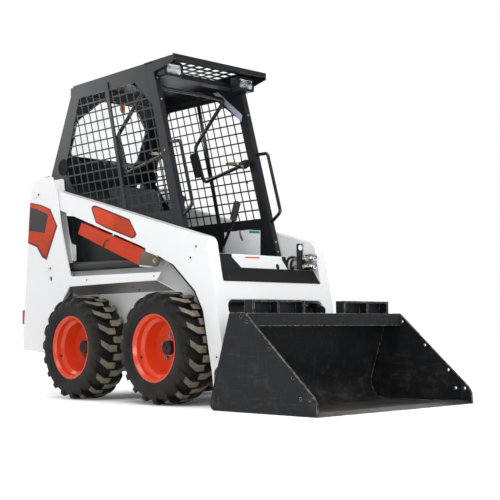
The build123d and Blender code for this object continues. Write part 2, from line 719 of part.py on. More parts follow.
save("cab_frame", cab_frame())
rear_panel = rear_wall(rear_sheet(), 6, 12) - rear_wall(rear_window(0), 50, 40)
save("rear_panel", rear_panel)
save("rear_window", rear_wall(rear_window(18), 4, 17))
save("cab_floor", cab_floor())
save("seat_base", block((-400, -40), (-190, 190), (710, 760)))
save("seat_cushion", fillet(block((-430, -20), (-215, 215), (760.3, 840)).edges(), 25))
seat_back = Pos(-400, 0, 841.7) * Rot(0, -10, 0) * Box(90, 400, 400, align=UPWARD)
save("seat_back", fillet(seat_back.edges(), 30))
save("control_levers", control_lever(1) + control_lever(-1))
save("seat_bar", seat_bar())
save("grab_handles", grab_handles())
save("headlamps", headlamps())
save("visor", visor())

save("arm_crossmember", arm_crossmember())
save("step_tread", step_tread())
save("hydraulic_couplers", hydraulic_couplers())
save("arm_support", arm_support())
save("tilt_barrel", barrel(TILT_BASE, TILT_EYE, 0, 27, 15, 14, 50, TILT_RETRACT))
save("tilt_rod", rod(TILT_BASE, TILT_EYE, 0, 15, 26, 44, TILT_RETRACT))
save("quick_attach", quick_attach())
save("attach_levers", attach_levers())
save("bucket", bucket())
save("cutting_edge", cutting_edge())

wheel_rim, wheel_tyre = rim(), tyre()
for side_name, side in SIDES.items():
    for end, front in (("front", True), ("rear", False)):
        place = wheel_place(side, front)
        save(f"rim_{end}_{side_name}", place * wheel_rim)
        save(f"tyre_{end}_{side_name}", Pos(place.position) * wheel_tyre)
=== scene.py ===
# %% [markdown]
# # A compact skid steer loader
#
# The solids of the machine come from the frame, already in metres and in their places. This
# notebook gives them their finishes and adds what the eye needs: tyre lugs, wheel nuts, bolts,
# lamps, pads, coloured sheets, hoses, and the scratches of a used bucket.
# Left and right are the operator's, X points forward and Z up.

# %% The frame and the helpers used everywhere
import math

import bmesh
import bpy
from mathutils import Matrix, Vector


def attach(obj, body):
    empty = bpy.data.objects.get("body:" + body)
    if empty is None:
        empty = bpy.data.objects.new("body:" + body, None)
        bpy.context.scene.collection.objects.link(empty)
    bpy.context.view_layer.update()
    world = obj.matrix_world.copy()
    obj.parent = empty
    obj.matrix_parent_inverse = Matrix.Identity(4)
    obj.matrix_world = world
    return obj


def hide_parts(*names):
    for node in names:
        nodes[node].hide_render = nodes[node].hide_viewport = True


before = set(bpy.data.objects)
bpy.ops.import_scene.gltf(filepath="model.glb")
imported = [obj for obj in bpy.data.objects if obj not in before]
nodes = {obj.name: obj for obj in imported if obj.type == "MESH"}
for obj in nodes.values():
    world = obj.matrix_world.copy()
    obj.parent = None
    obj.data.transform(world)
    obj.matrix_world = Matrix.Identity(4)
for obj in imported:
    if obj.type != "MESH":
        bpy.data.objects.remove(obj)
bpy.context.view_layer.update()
MM = 0.001
MIDDLE_TO_FRAME = -228      # where the wheelbase's middle lies along the frame's X, in mm
AXLE_Z = 283
ARM_FACE, UPRIGHT_FACE = 417, 430       # outer faces, from the middle plane
SIDES = ((1, "left"), (-1, "right"))


def at(x, y, z):
    """A point in millimetres from the middle of the wheelbase, as metres in the frame."""
    return Vector(((x + MIDDLE_TO_FRAME) * MM, y * MM, z * MM))


def linked(name, data):
    """A new object in the scene's collection."""
    obj = bpy.data.objects.new(name, data)
    bpy.context.collection.objects.link(obj)
    return obj


def dress(mesh, material):
    """Makes a material the only one of a mesh."""
    mesh.materials.clear()
    mesh.materials.append(material)


def mesh_object(name, points, faces=(), material=None):
    mesh = bpy.data.meshes.new(name)
    mesh.from_pydata([tuple(p) for p in points], [], list(faces))
    if material:
        dress(mesh, material)
    return linked(name, mesh)


# %% [markdown]
# ## The camera
#
# The photographer stood far off to the right front, low, with a long lens, so the lines of the
# machine hardly converge. The place, turn and focal length were found by fitting the tyres, the
# cab's corners, the arm's edges and the bucket's lip together.

# %% Camera
CAMERA_PLACE = at(4571.78, -3870.76, 365.6)
CAMERA_YAW = math.radians(136.28)
CAMERA_PITCH = math.radians(4.28)
CAMERA_ROLL = math.radians(-0.55)
FOCAL_PIXELS = 1075.42
IMAGE_PIXELS = 500


def make_camera():
    data = bpy.data.cameras.new("camera")
    data.sensor_width = 36
    data.lens = FOCAL_PIXELS * data.sensor_width / IMAGE_PIXELS
    data.clip_end = 200
    turn = (Matrix.Rotation(CAMERA_YAW - math.pi / 2, 4, "Z")
        @ Matrix.Rotation(CAMERA_PITCH + math.pi / 2, 4, "X")
        @ Matrix.Rotation(CAMERA_ROLL, 4, "Z"))
    camera = linked("camera", data)
    camera.matrix_world = Matrix.Translation(CAMERA_PLACE) @ turn
    bpy.context.scene.camera = camera


make_camera()
print("camera at", tuple(round(v, 3) for v in CAMERA_PLACE))

# %% [markdown]
# ## Shader helpers
#
# Paint on such a machine is never one flat colour. Three effects come back in most finishes, so
# each is a node group with named inputs: fine dust that settles low and on upward faces, edges
# rubbed bright, which on the bucket are a painted highlight, and the uneven skin of sprayed or
# moulded surfaces.

# %% Node helpers
def add(tree, kind, **values):
    node = tree.nodes.new(kind)
    for key, value in values.items():
        setattr(node, key, value)
    return node


def put(tree, socket, value):
    """Links a socket, or sets it to a plain value."""
    if isinstance(value, bpy.types.NodeSocket):
        tree.links.new(value, socket)
    else:
        socket.default_value = value


def feed(tree, node, inputs):
    """Links or sets a node's inputs, by label or number."""
    for label, value in inputs.items():
        put(tree, node.inputs[label], value)
    return node


def fed(tree, kind, inputs, **values):
    return feed(tree, add(tree, kind, **values), inputs)


def calc(tree, operation, a, b, clamp=False):
    return fed(tree, "ShaderNodeMath", {0: a, 1: b}, operation=operation,
        use_clamp=clamp).outputs[0]


def times(tree, a, b, clamp=False):
    return calc(tree, "MULTIPLY", a, b, clamp)


def object_place(tree):
    return add(tree, "ShaderNodeTexCoord").outputs["Object"]


def noise(tree, scale, detail, rough, stretch=None):
    place = object_place(tree)
    if stretch:
        place = fed(tree, "ShaderNodeMapping", {"Vector": place, "Scale": stretch}).outputs[0]
    return fed(tree, "ShaderNodeTexNoise",
        {"Vector": place, "Scale": scale, "Detail": detail, "Roughness": rough}).outputs["Fac"]


def ramp(tree, value, low, high, start=0.0, end=1.0, kind="LINEAR"):
    """Takes low to start and high to end, and stays there beyond them."""
    return fed(tree, "ShaderNodeMapRange",
        {"Value": value, "From Min": low, "From Max": high, "To Min": start, "To Max": end},
        clamp=True, interpolation_type=kind).outputs["Result"]


def mix(tree, share, a, b):
    """Colours are sockets or (red, green, blue)."""
    a, b = ((*c, 1) if isinstance(c, tuple) else c for c in (a, b))
    return fed(tree, "ShaderNodeMix", {"Factor": share, "A": a, "B": b},
        data_type="RGBA").outputs["Result"]


def upward_share(tree):
    """How far a face looks up, from -1 to 1."""
    normal = add(tree, "ShaderNodeNewGeometry").outputs["Normal"]
    return fed(tree, "ShaderNodeSeparateXYZ", {0: normal}).outputs["Z"]


def height_above_ground(tree):
    return fed(tree, "ShaderNodeSeparateXYZ", {0: object_place(tree)}).outputs["Z"]


def group(name, inputs, output, kind="NodeSocketFloat"):
    """A node group with plain number inputs and one output."""
    tree = bpy.data.node_groups.new(name, "ShaderNodeTree")
    for label, value in inputs.items():
        tree.interface.new_socket(name=label, in_out="INPUT",
            socket_type="NodeSocketFloat").default_value = value
    tree.interface.new_socket(name=output, in_out="OUTPUT", socket_type=kind)
    return tree, add(tree, "NodeGroupInput").outputs, add(tree, "NodeGroupOutput").inputs[0]


def use(tree, shared, **values):
    return fed(tree, "ShaderNodeGroup", values, node_tree=shared).outputs[0]


# %% Dust, worn edges and skin as groups
def dust_group():
    """More dust low down and on faces that look up, broken by clouds of noise."""
    tree, given, out = group("dust", {"Amount": 0.3, "Height": 0.7}, "Mask")
    low = calc(tree, "DIVIDE", height_above_ground(tree), given["Height"])
    low = calc(tree, "SUBTRACT", 1.0, low, clamp=True)
    level = ramp(tree, upward_share(tree), 0.3, 1.0)
    both = calc(tree, "ADD", times(tree, low, 0.7), times(tree, level, 0.5))
    clouds = ramp(tree, noise(tree, 9.0, 6.0, 0.65), 0.35, 0.75)
    put(tree, out, times(tree, times(tree, both, clouds), given["Amount"], True))
    return tree


def edge_group():
    """Where the rounded normal leaves the flat one there is an edge."""
    tree, given, out = group("edge_wear_and_highlight", {"Radius": 0.003, "Amount": 0.5}, "Mask")
    rounded = fed(tree, "ShaderNodeBevel", {"Radius": given["Radius"]}, samples=4).outputs["Normal"]
    flat = add(tree, "ShaderNodeNewGeometry").outputs["Normal"]
    dot = fed(tree, "ShaderNodeVectorMath", {0: rounded, 1: flat}, operation="DOT_PRODUCT")
    edge = ramp(tree, dot.outputs["Value"], 0.985, 0.86)
    broken = ramp(tree, noise(tree, 60.0, 5.0, 0.7), 0.42, 0.62)
    put(tree, out, times(tree, times(tree, edge, broken), given["Amount"], True))
    return tree


def skin_group():
    """The fine unevenness of a surface, as a normal."""
    tree, given, out = group("skin", {"Size": 250.0, "Depth": 0.0003, "Strength": 0.3}, "Normal",
        "NodeSocketVector")
    bump = fed(tree, "ShaderNodeBump",
        {"Height": noise(tree, given["Size"], 3.0, 0.5), "Distance": given["Depth"],
        "Strength": given["Strength"]})
    put(tree, out, bump.outputs["Normal"])
    return tree


DUST, EDGE, SKIN = dust_group(), edge_group(), skin_group()
print("groups:", DUST.name, EDGE.name, SKIN.name)

# %% [markdown]
# ## Floor and light
#
# The photograph is a cut-out on white with a soft shadow under the machine. The floor is white to
# the camera, through a little light of its own that only camera and mirror rays see. It fades out
# in an oval under the machine, so that the shadow there stays dark. Big soft lamps keep the white
# paint just under full white, so its faces stay apart.

# %% Floor, world and lamps
FLOOR_REACH = 60
NEAR_GLOW, FAR_GLOW = 0.42, 1.1         # at the two distances, in metres
GLOW_DISTANCES = (2.2, 7.0)
# the oval is a painted shadow under the machine
OVAL_AXES = (1.55, 0.84)                # along X and Y; the glow rises between the two shares
OVAL_SHARES = (0.42, 0.95)
ROOM_LIGHT = 0.46
COOL, NEUTRAL = (0.93, 0.96, 1.0), (1, 1, 1)


def bare_tree(owner):
    owner.use_nodes = True
    owner.node_tree.nodes.clear()
    return owner.node_tree


def make_floor():
    material = bpy.data.materials.new("floor_white")
    tree = bare_tree(material)

    def length(vector):
        return fed(tree, "ShaderNodeVectorMath", {0: vector}, operation="LENGTH").outputs["Value"]

    place = object_place(tree)
    oval = fed(tree, "ShaderNodeVectorMath", {0: place, 1: (1 / OVAL_AXES[0], 1 / OVAL_AXES[1], 0)},
        operation="MULTIPLY").outputs[0]
    # painted shadow: the floor's glow fades out inside the oval
    glow = times(tree, ramp(tree, length(place), *GLOW_DISTANCES, NEAR_GLOW, FAR_GLOW),
        ramp(tree, length(oval), *OVAL_SHARES, kind="SMOOTHSTEP"))
    rays = add(tree, "ShaderNodeLightPath").outputs
    seen = calc(tree, "MAXIMUM", rays["Is Camera Ray"], rays["Is Glossy Ray"])
    matte = fed(tree, "ShaderNodeBsdfDiffuse", {"Color": (0.86, 0.86, 0.86, 1)})
    light = fed(tree, "ShaderNodeEmission", {"Strength": times(tree, seen, glow)})
    both = fed(tree, "ShaderNodeAddShader", {0: matte.outputs[0], 1: light.outputs[0]})
    fed(tree, "ShaderNodeOutputMaterial", {"Surface": both.outputs[0]})
    r = FLOOR_REACH
    floor = mesh_object("floor", [(-r, -r, 0), (r, -r, 0), (r, r, 0), (-r, r, 0)], [(0, 1, 2, 3)],
        material)


def make_world():
    """A dim room gives light, and the camera sees plain white, also through glass."""
    world = bpy.data.worlds.new("studio")
    bpy.context.scene.world = world
    tree = bare_tree(world)
    room = fed(tree, "ShaderNodeBackground", {"Color": (*COOL, 1), "Strength": ROOM_LIGHT})
    white = fed(tree, "ShaderNodeBackground", {"Color": (*NEUTRAL, 1), "Strength": 1.0})
    rays = add(tree, "ShaderNodeLightPath").outputs
    seen = calc(tree, "MAXIMUM", rays["Is Camera Ray"], rays["Is Transmission Ray"])
    pick = fed(tree, "ShaderNodeMixShader", {"Fac": seen, 1: room.outputs[0], 2: white.outputs[0]})
    fed(tree, "ShaderNodeOutputWorld", {"Surface": pick.outputs[0]})


LAMPS = {   # place, target, size, watts, colour
    "key_above": ((1.6, -2.6, 5.2), (0, 0, 0.7), (3.6, 3.0), 150, NEUTRAL),
    "fill_front": ((6.2, 0.6, 2.6), (0.3, 0, 0.7), (2.6, 2.6), 120, NEUTRAL),
    "front_right": ((3.6, -3.3, 1.1), (0, 0, 0.9), (1.6, 1.6), 66, NEUTRAL),
    "rim_left": ((-1.0, 5.0, 3.4), (0, 0, 1.0), (3.0, 2.0), 90, COOL),
    "back_soft": ((-5.0, -2.0, 3.2), (-0.4, 0, 0.9), (3.0, 2.5), 85, NEUTRAL),
}
make_floor()
make_world()
for name, (place, target, size, watts, colour) in LAMPS.items():
    data = bpy.data.lights.new(name, "AREA")
    data.shape = "RECTANGLE"
    data.size, data.size_y = size
    data.energy = watts
    data.color = colour
    turn = (Vector(place) - Vector(target)).to_track_quat("Z", "Y").to_matrix().to_4x4()
    linked(name, data).matrix_world = Matrix.Translation(place) @ turn
bpy.context.scene.view_settings.view_transform = "Standard"
print("stage and", len(LAMPS), "lamps")

# %% [markdown]
# ## Finishes
#
# One function makes every painted, rubber and plastic finish and the bright metals: a base colour
# that drifts slightly, dust over it, bare steel or paler paint at the edges where it is wanted, and
# a skin. A finish may take another colour on faces that look down, as painted shade.

# %% The general finish
DUST_TAN = (0.33, 0.28, 0.21)
ROUGH_SPREAD = 0.08
SKIN_DEPTH = 0.0004
COAT_ROUGHNESS = 0.12


def new_material(name):
    """A material with its tree and its main shader."""
    material = bpy.data.materials.new(name)
    material.use_nodes = True
    return material, material.node_tree, material.node_tree.nodes["Principled BSDF"]


def finish(name, colour, rough, drift=0.1, dust=0.0, dust_height=0.7, edge=0.0, edge_radius=0.003,
        edge_colour=None, metal=0.0, coat=0.0, skin=0.2, skin_size=250.0, gloss=0.5, under=None):
    material, tree, shader = new_material(name)
    darker = tuple(c * (1 - drift * 2) for c in colour)
    lighter = tuple(min(1, c * (1 + drift)) for c in colour)
    base = mix(tree, ramp(tree, noise(tree, 3.5, 5.0, 0.6), 0.3, 0.7), darker, lighter)
    # painted shade: faces that look down take the darker colour given as under
    if under:
        base = mix(tree, ramp(tree, upward_share(tree), -0.12, -0.3), base, under)
    if edge:
        base = mix(tree, use(tree, EDGE, Radius=edge_radius, Amount=edge), base, edge_colour)
    rough_now = calc(tree, "ADD", rough - ROUGH_SPREAD / 2,
        times(tree, noise(tree, 14.0, 4.0, 0.6), ROUGH_SPREAD))
    if dust:
        mask = use(tree, DUST, Amount=dust, Height=dust_height)
        base = mix(tree, mask, base, DUST_TAN)
        rough_now = calc(tree, "ADD", rough_now, times(tree, mask, 0.35), True)
    normal = use(tree, SKIN, Size=skin_size, Depth=SKIN_DEPTH, Strength=skin)
    feed(tree, shader, {"Base Color": base, "Roughness": rough_now, "Metallic": metal,
        "Coat Weight": coat, "Coat Roughness": COAT_ROUGHNESS, "Specular IOR Level": gloss,
        "Normal": normal})
    return material


# %% Paints and blacks
WHITE = (0.84, 0.845, 0.84)
white_paint = finish("white_paint", WHITE, 0.34, drift=0.012, dust=0.10, dust_height=0.5,
    edge=0.12, edge_colour=(0.6, 0.6, 0.58), coat=0.25, skin=0.05)
# the fender's downward faces carry painted shade in dark grey-brown
fender_white = finish("fender_white", WHITE, 0.36, drift=0.012, dust=0.2, coat=0.2, skin=0.05,
    under=(0.13, 0.122, 0.11))
cab_black = finish("cab_black", (0.0125, 0.0135, 0.0165), 0.34, drift=0.12, dust=0.03, edge=0.3,
    edge_radius=0.002, edge_colour=(0.09, 0.09, 0.09), coat=0.02, skin=0.18, gloss=0.24)
tube_black = finish("tube_black", (0.007, 0.007, 0.008), 0.24, coat=0.25, skin=0.06, gloss=0.4)
hood_black = finish("hood_black", (0.015, 0.015, 0.016), 0.5, dust=0.08, skin=0.4, skin_size=600.0,
    gloss=0.25)
step_grip = finish("step_grip", (0.007, 0.007, 0.0075), 0.85, drift=0.2, dust=0.05, skin=1.0,
    skin_size=900.0, gloss=0.2)
wheel_orange = finish("wheel_orange", (0.68, 0.046, 0.007), 0.32, drift=0.05, dust=0.10,
    dust_height=0.45, edge=0.2, edge_colour=(0.35, 0.06, 0.03), coat=0.35, skin=0.06, gloss=0.4)
strut_orange = finish("strut_orange", (0.55, 0.038, 0.007), 0.42, edge=0.3,
    edge_colour=(0.25, 0.05, 0.025), coat=0.04, skin=0.12, gloss=0.18)
# a dark olive-brown, used for the sheet over the arm support's front lug
olive_brown = finish("olive_brown", (0.085, 0.066, 0.036), 0.5, drift=0.15, dust=0.1, skin=0.3)
cast_dark = finish("cast_dark", (0.016, 0.016, 0.016), 0.55, drift=0.2, dust=0.12, skin=0.5,
    gloss=0.3)

# %% Rubber, foam and bright metals
hose_rubber = finish("hose_rubber", (0.012, 0.012, 0.012), 0.5, dust=0.05, gloss=0.4)
tyre_black = finish("tyre_black", (0.0075, 0.0072, 0.007), 0.6, drift=0.2, dust=0.13,
    dust_height=0.62, skin=0.5, skin_size=420.0, gloss=0.18)
grip_rubber = finish("grip_rubber", (0.03, 0.03, 0.031), 0.7, skin=0.5, skin_size=700.0)
pad_foam = finish("pad_foam", (0.013, 0.013, 0.014), 0.75, drift=0.15, skin=0.9, skin_size=500.0,
    gloss=0.25)
vinyl_black = finish("vinyl_black", (0.016, 0.016, 0.018), 0.5, skin=0.8, skin_size=900.0)
zinc = finish("zinc", (0.52, 0.46, 0.32), 0.3, drift=0.2, metal=1.0, skin=0.1)
bright_steel = finish("bright_steel", (0.62, 0.63, 0.64), 0.18, drift=0.03, metal=1.0, skin=0.02)
steel_grey = finish("steel_grey", (0.30, 0.31, 0.32), 0.35, drift=0.15, metal=1.0)
lamp_silver = finish("lamp_silver", (0.75, 0.76, 0.78), 0.22, drift=0.02, metal=1.0, skin=0.35,
    skin_size=120.0)
lamp_red = finish("lamp_red", (0.5, 0.012, 0.015), 0.2, coat=0.6, skin=0.3, skin_size=300.0)
# a pale blue-grey paint that stands for the highlight along a gusset's edge: painted highlight
painted_highlight_strip = finish("painted_highlight_strip", (0.50, 0.57, 0.68), 0.22, drift=0.25, coat=0.5, skin=0.1)

# %% Sheets and small coloured parts
decal_orange = finish("decal_orange", (0.62, 0.052, 0.006), 0.34, drift=0.2, coat=0.1, skin=0.02,
    gloss=0.2)
decal_red = finish("decal_red", (0.17, 0.006, 0.005), 0.3, coat=0.3, skin=0.02, gloss=0.35)
decal_dark = finish("decal_dark", (0.028, 0.018, 0.02), 0.3, drift=0.25, coat=0.3, skin=0.02,
    gloss=0.35)
decal_white = finish("decal_white", (0.9, 0.9, 0.9), 0.4, drift=0.04, skin=0.02)
tab_orange = finish("tab_orange", (0.9, 0.13, 0.02), 0.5)
stripe_teal = finish("stripe_teal", (0.03, 0.34, 0.26), 0.4, skin=0.05)
print(len(bpy.data.materials), "finishes so far")

# %% [markdown]
# ## Earth, glass and the bucket's steel
#
# These need more than the general finish. A used tyre has dry earth on the faces of its lugs. The
# bucket has lost paint where soil slides over it: long scratches run from the lip to the back, and
# the floor is the brownest. The lamp glass and the rear pane keep plain values, so that they stay
# glass when the model is exported.

# %% Lug face, bucket and glass
def earth_on_rubber(name):
    material, tree, shader = new_material(name)
    clouds = ramp(tree, noise(tree, 26.0, 8.0, 0.7), 0.33, 0.62)
    grain = ramp(tree, noise(tree, 160.0, 4.0, 0.6), 0.3, 0.8)
    clouds = calc(tree, "ADD", times(tree, clouds, 0.75), 0.25)
    mask = times(tree, clouds, calc(tree, "ADD", times(tree, grain, 0.4), 0.6))
    base = mix(tree, times(tree, mask, 0.95, True), (0.05, 0.046, 0.04), (0.29, 0.245, 0.175))
    feed(tree, shader, {"Base Color": base, "Roughness": 0.8,
        "Normal": use(tree, SKIN, Size=300.0, Depth=0.0005, Strength=0.6)})
    return material


def scraped_steel(name, paint, bare, amount):
    """Dark paint worn through by soil: scratches along X, browner on level faces, and pale edges
    that are a painted highlight.
    """
    material, tree, shader = new_material(name)
    fine = ramp(tree, noise(tree, 70.0, 6.0, 0.7, (0.12, 1, 1)), 0.54, 0.72)
    wide = ramp(tree, noise(tree, 6.0, 5.0, 0.6), 0.35, 0.75)
    level = ramp(tree, upward_share(tree), 0.25, 0.95)
    worn = times(tree, fine, calc(tree, "ADD", times(tree, wide, 0.35), times(tree, level, amount)),
        True)
    earth = times(tree, times(tree, level, wide), amount * 0.55, True)
    low = ramp(tree, height_above_ground(tree), 0.34, 0.05)
    scuff = times(tree, ramp(tree, noise(tree, 13.0, 8.0, 0.75), 0.52, 0.72), low)
    upright = ramp(tree, noise(tree, 45.0, 5.0, 0.7, (1, 1, 0.14)), 0.56, 0.72)
    base = paint
    for share, colour in ((earth, (0.105, 0.093, 0.07)), (worn, bare),
            (times(tree, scuff, 0.34), (0.13, 0.125, 0.112)),
            (times(tree, upright, 0.13), (0.10, 0.098, 0.09)),
            # painted highlight: pale lines along the plate edges
            (use(tree, EDGE, Radius=0.005, Amount=1.0), (0.5, 0.49, 0.45))):
        base = mix(tree, share, base, colour)
    feed(tree, shader, {"Base Color": base, "Specular IOR Level": 0.2,
        "Roughness": calc(tree, "ADD", 0.42, times(tree, wide, 0.2)),
        "Metallic": times(tree, worn, 0.5),
        "Normal": use(tree, SKIN, Size=180.0, Depth=0.0005, Strength=0.25)})
    return material


def glass(name, tint, rough):
    material, tree, shader = new_material(name)
    feed(tree, shader, {"Base Color": (*tint, 1), "Roughness": rough, "Transmission Weight": 1.0,
        "IOR": 1.45})
    return material


lug_earth = earth_on_rubber("lug_earth")
bucket_paint = scraped_steel("bucket_paint", (0.0085, 0.009, 0.0105), (0.175, 0.152, 0.105), 0.95)
edge_steel = scraped_steel("edge_steel", (0.018, 0.0165, 0.013), (0.16, 0.138, 0.095), 0.9)
lens_glass = glass("lens_glass", (0.93, 0.95, 0.98), 0.12)
pane_glass = glass("pane_glass", (0.93, 0.97, 0.96), 0.02)

# %% CAD nodes get their finishes
FINISH_OF = {   # the nodes whose names begin so
    white_paint: "main_frame upright_ lift_arm_ arm_crossmember",
    fender_white: "fender_",
    cab_black: "engine_side_covers cab_frame side_panel_ rear_panel visor headlamps cab_floor "
               "seat_base quick_attach attach_levers",
    hood_black: "engine_hood rear_door",
    tube_black: "seat_bar grab_handles control_levers tilt_barrel",
    cast_dark: "engine_block lift_barrel_",
    bright_steel: "lift_rod_ tilt_rod",
    steel_grey: "hydraulic_couplers",
    strut_orange: "arm_support",
    step_grip: "step_tread",
    bucket_paint: "bucket",
    edge_steel: "cutting_edge",
    wheel_orange: "rim_",
    lamp_red: "tail_lamps",
    pane_glass: "rear_window",
    tyre_black: "tyre_",
    pad_foam: "seat_cushion seat_back",
}
dressed = []
for material, starts in FINISH_OF.items():
    for name in nodes:
        if name.startswith(tuple(starts.split())):
            dress(nodes[name].data, material)
            dressed.append(name)
print(len(dressed), "nodes dressed, each once:", len(set(dressed)) == len(dressed) == len(nodes))

# %% [markdown]
# ## Making pieces
#
# A new piece is a mesh whose points already stand where they belong. Most are rings of points
# joined in order: a flat outline given thickness, a profile turned about an axis, or a loft. What
# repeats is made by Geometry Nodes: a tree puts copies on points or round a wheel, makes them real,
# sets their material, and the result is kept as a plain mesh.

# %% Piece helpers
def recalc(obj):
    """Merges doubled points and turns all faces outwards."""
    work = bmesh.new()
    work.from_mesh(obj.data)
    bmesh.ops.remove_doubles(work, verts=work.verts, dist=1e-6)
    bmesh.ops.recalc_face_normals(work, faces=work.faces)
    work.to_mesh(obj.data)
    work.free()
    return obj


def made_mesh(obj):
    """What an object's modifiers or curve make, as a new mesh."""
    bpy.context.view_layer.update()
    return bpy.data.meshes.new_from_object(
        obj.evaluated_get(bpy.context.evaluated_depsgraph_get()))


def applied(obj):
    """Keeps what the modifiers make as the object's own plain mesh."""
    shape = made_mesh(obj)
    obj.modifiers.clear()
    obj.data = shape
    return obj


def bevelled(obj, width, segments, angle=30):
    tool = obj.modifiers.new("bevel", "BEVEL")
    tool.width, tool.segments = width, segments
    tool.limit_method, tool.angle_limit = "ANGLE", math.radians(angle)
    return applied(obj)


def settle(obj, body, angle=35):
    """The last step of each piece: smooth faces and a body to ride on."""
    if angle:
        for face in obj.data.polygons:
            face.use_smooth = True
        obj.data.set_sharp_from_angle(angle=math.radians(angle))
    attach(obj, body)
    return obj


def joined(name, parts):
    """Several loose mesh objects as one, keeping their materials."""
    work = bmesh.new()
    materials = []
    for part in parts:
        start = len(work.faces)
        work.from_mesh(part.data)
        work.faces.ensure_lookup_table()
        slots = list(part.data.materials)
        materials += [m for m in slots if m not in materials]
        for face in work.faces[start:]:
            face.material_index = materials.index(slots[face.material_index]) if slots else 0
    mesh = bpy.data.meshes.new(name)
    work.to_mesh(mesh)
    work.free()
    for m in materials:
        mesh.materials.append(m)
    for part in parts:
        bpy.data.objects.remove(part)
    return linked(name, mesh)


# %% Shapes from rings of points
def disc(radius, sides):
    return [(radius * math.cos(2 * math.pi * i / sides), radius * math.sin(2 * math.pi * i / sides))
        for i in range(sides)]


def lofted(name, rings, material=None, ends=True):
    """Rings with the same count of points joined in order: closed at both ends, or in a loop."""
    count = len(rings[0])
    starts = [count * k for k in range(len(rings))]
    following = starts[1:] if ends else starts[1:] + starts[:1]
    faces = [(a + i, a + (i + 1) % count, b + (i + 1) % count, b + i)
        for a, b in zip(starts, following) for i in range(count)]
    if ends:
        faces += [tuple(range(count)), tuple(range(starts[-1], starts[-1] + count))]
    return recalc(mesh_object(name, [p for ring in rings for p in ring], faces, material))


def prism(name, outline, low, high, axis, material):
    """A flat outline given thickness along X or Y, in millimetres from the wheelbase's middle."""
    return lofted(name, [[at(t, a, b) if axis == "X" else at(a, t, b) for a, b in outline]
        for t in (low, high)], material)


def turned(name, centre, facing, rows, material, sides=36):
    """A body of revolution from (radius, distance along its axis) rows, in millimetres."""
    turn = Vector(facing).normalized().to_track_quat("Z", "Y").to_matrix()
    return lofted(name, [[at(*(Vector(centre) + turn @ Vector((a, b, along))))
        for a, b in disc(radius, sides)] for radius, along in rows], material)


def turned_piece(name, centre, facing, rows, material, body, sides=36, angle=35):
    return settle(turned(name, centre, facing, rows, material, sides), body, angle)


def cut_sheet(name, outline, low, high, axis, material, width, segments=2):
    """A prism with softened edges."""
    return bevelled(prism(name, outline, low, high, axis, material), width, segments)


def plate(name, outline, low, high, axis, material, body, slot, width=0.0008):
    return settle(cut_sheet(name, outline, low, high, axis, material, width), body)


# %% Geometry Nodes: copies on points and round a wheel
def copying_tree(name, inputs):
    """A tree with its inputs and the pattern's geometry ready to be put on points."""
    tree = bpy.data.node_groups.new(name, "GeometryNodeTree")
    tree.interface.new_socket(name="Geometry", in_out="INPUT", socket_type="NodeSocketGeometry")
    ids = {}
    for label, kind in (("Pattern", "Object"), ("Material", "Material"), *inputs):
        ids[label] = tree.interface.new_socket(name=label, in_out="INPUT",
            socket_type="NodeSocket" + kind).identifier
    tree.interface.new_socket(name="Geometry", in_out="OUTPUT", socket_type="NodeSocketGeometry")
    given = add(tree, "NodeGroupInput").outputs
    pattern = fed(tree, "GeometryNodeObjectInfo", {"Object": given["Pattern"]}).outputs["Geometry"]
    return tree, ids, given, pattern


def finish_tree(tree, given, points, pattern, **more):
    put_on = fed(tree, "GeometryNodeInstanceOnPoints",
        {"Points": points, "Instance": pattern, **more}).outputs["Instances"]
    real = fed(tree, "GeometryNodeRealizeInstances", {"Geometry": put_on}).outputs["Geometry"]
    done = fed(tree, "GeometryNodeSetMaterial", {"Geometry": real, "Material": given["Material"]})
    fed(tree, "NodeGroupOutput", {"Geometry": done.outputs["Geometry"]})


def copies_tree():
    """A copy of one object on every point, its Z along the point's own direction."""
    tree, ids, given, pattern = copying_tree("copies_on_points", [("Size", "Float")])
    facing = fed(tree, "GeometryNodeInputNamedAttribute", {"Name": "facing"},
        data_type="FLOAT_VECTOR").outputs["Attribute"]
    turn = fed(tree, "FunctionNodeAlignRotationToVector", {"Vector": facing}, axis="Z")
    finish_tree(tree, given, given["Geometry"], pattern, Rotation=turn.outputs["Rotation"],
        Scale=given["Size"])
    return tree, ids


def wheel_tree():
    """Copies of one object round the Y axis, evenly, from a first angle."""
    tree, ids, given, pattern = copying_tree("copies_round_wheel",
        [("Count", "Int"), ("First angle", "Float")])
    points = fed(tree, "GeometryNodePoints", {"Count": given["Count"]}).outputs[0]
    step = calc(tree, "DIVIDE", 2 * math.pi, given["Count"])
    index = add(tree, "GeometryNodeInputIndex").outputs[0]
    angle = calc(tree, "ADD", times(tree, index, step), given["First angle"])
    euler = fed(tree, "ShaderNodeCombineXYZ", {"Y": angle}).outputs[0]
    turn = fed(tree, "FunctionNodeEulerToRotation", {"Euler": euler}).outputs["Rotation"]
    finish_tree(tree, given, points, pattern, Rotation=turn)
    return tree, ids


def run_tree(obj, tree_and_ids, values):
    tree, ids = tree_and_ids
    tool = obj.modifiers.new("copies", "NODES")
    tool.node_group = tree
    for label, value in values.items():
        tool[ids[label]] = value
    return applied(obj)


COPIES, ROUND = copies_tree(), wheel_tree()


def copies(name, pattern, places, material, body, size=1.0):
    """Copies of a pattern at (point, direction) pairs, as one plain mesh on one body."""
    obj = mesh_object(name, [at(*point) for point, _ in places], material=material)
    field = obj.data.attributes.new("facing", "FLOAT_VECTOR", "POINT")
    for i, (_, facing) in enumerate(places):
        field.data[i].vector = Vector(facing).normalized()
    run_tree(obj, COPIES, {"Pattern": pattern, "Size": size, "Material": material})
    return settle(obj, body)


print("trees:", COPIES[0].name, ROUND[0].name)

# %% [markdown]
# ## Patterns for fasteners
#
# A hex bolt head is a six-sided prism with a rounded top on a flat washer. Each pattern is made
# once, around the origin and pointing up, and is removed when all is done.

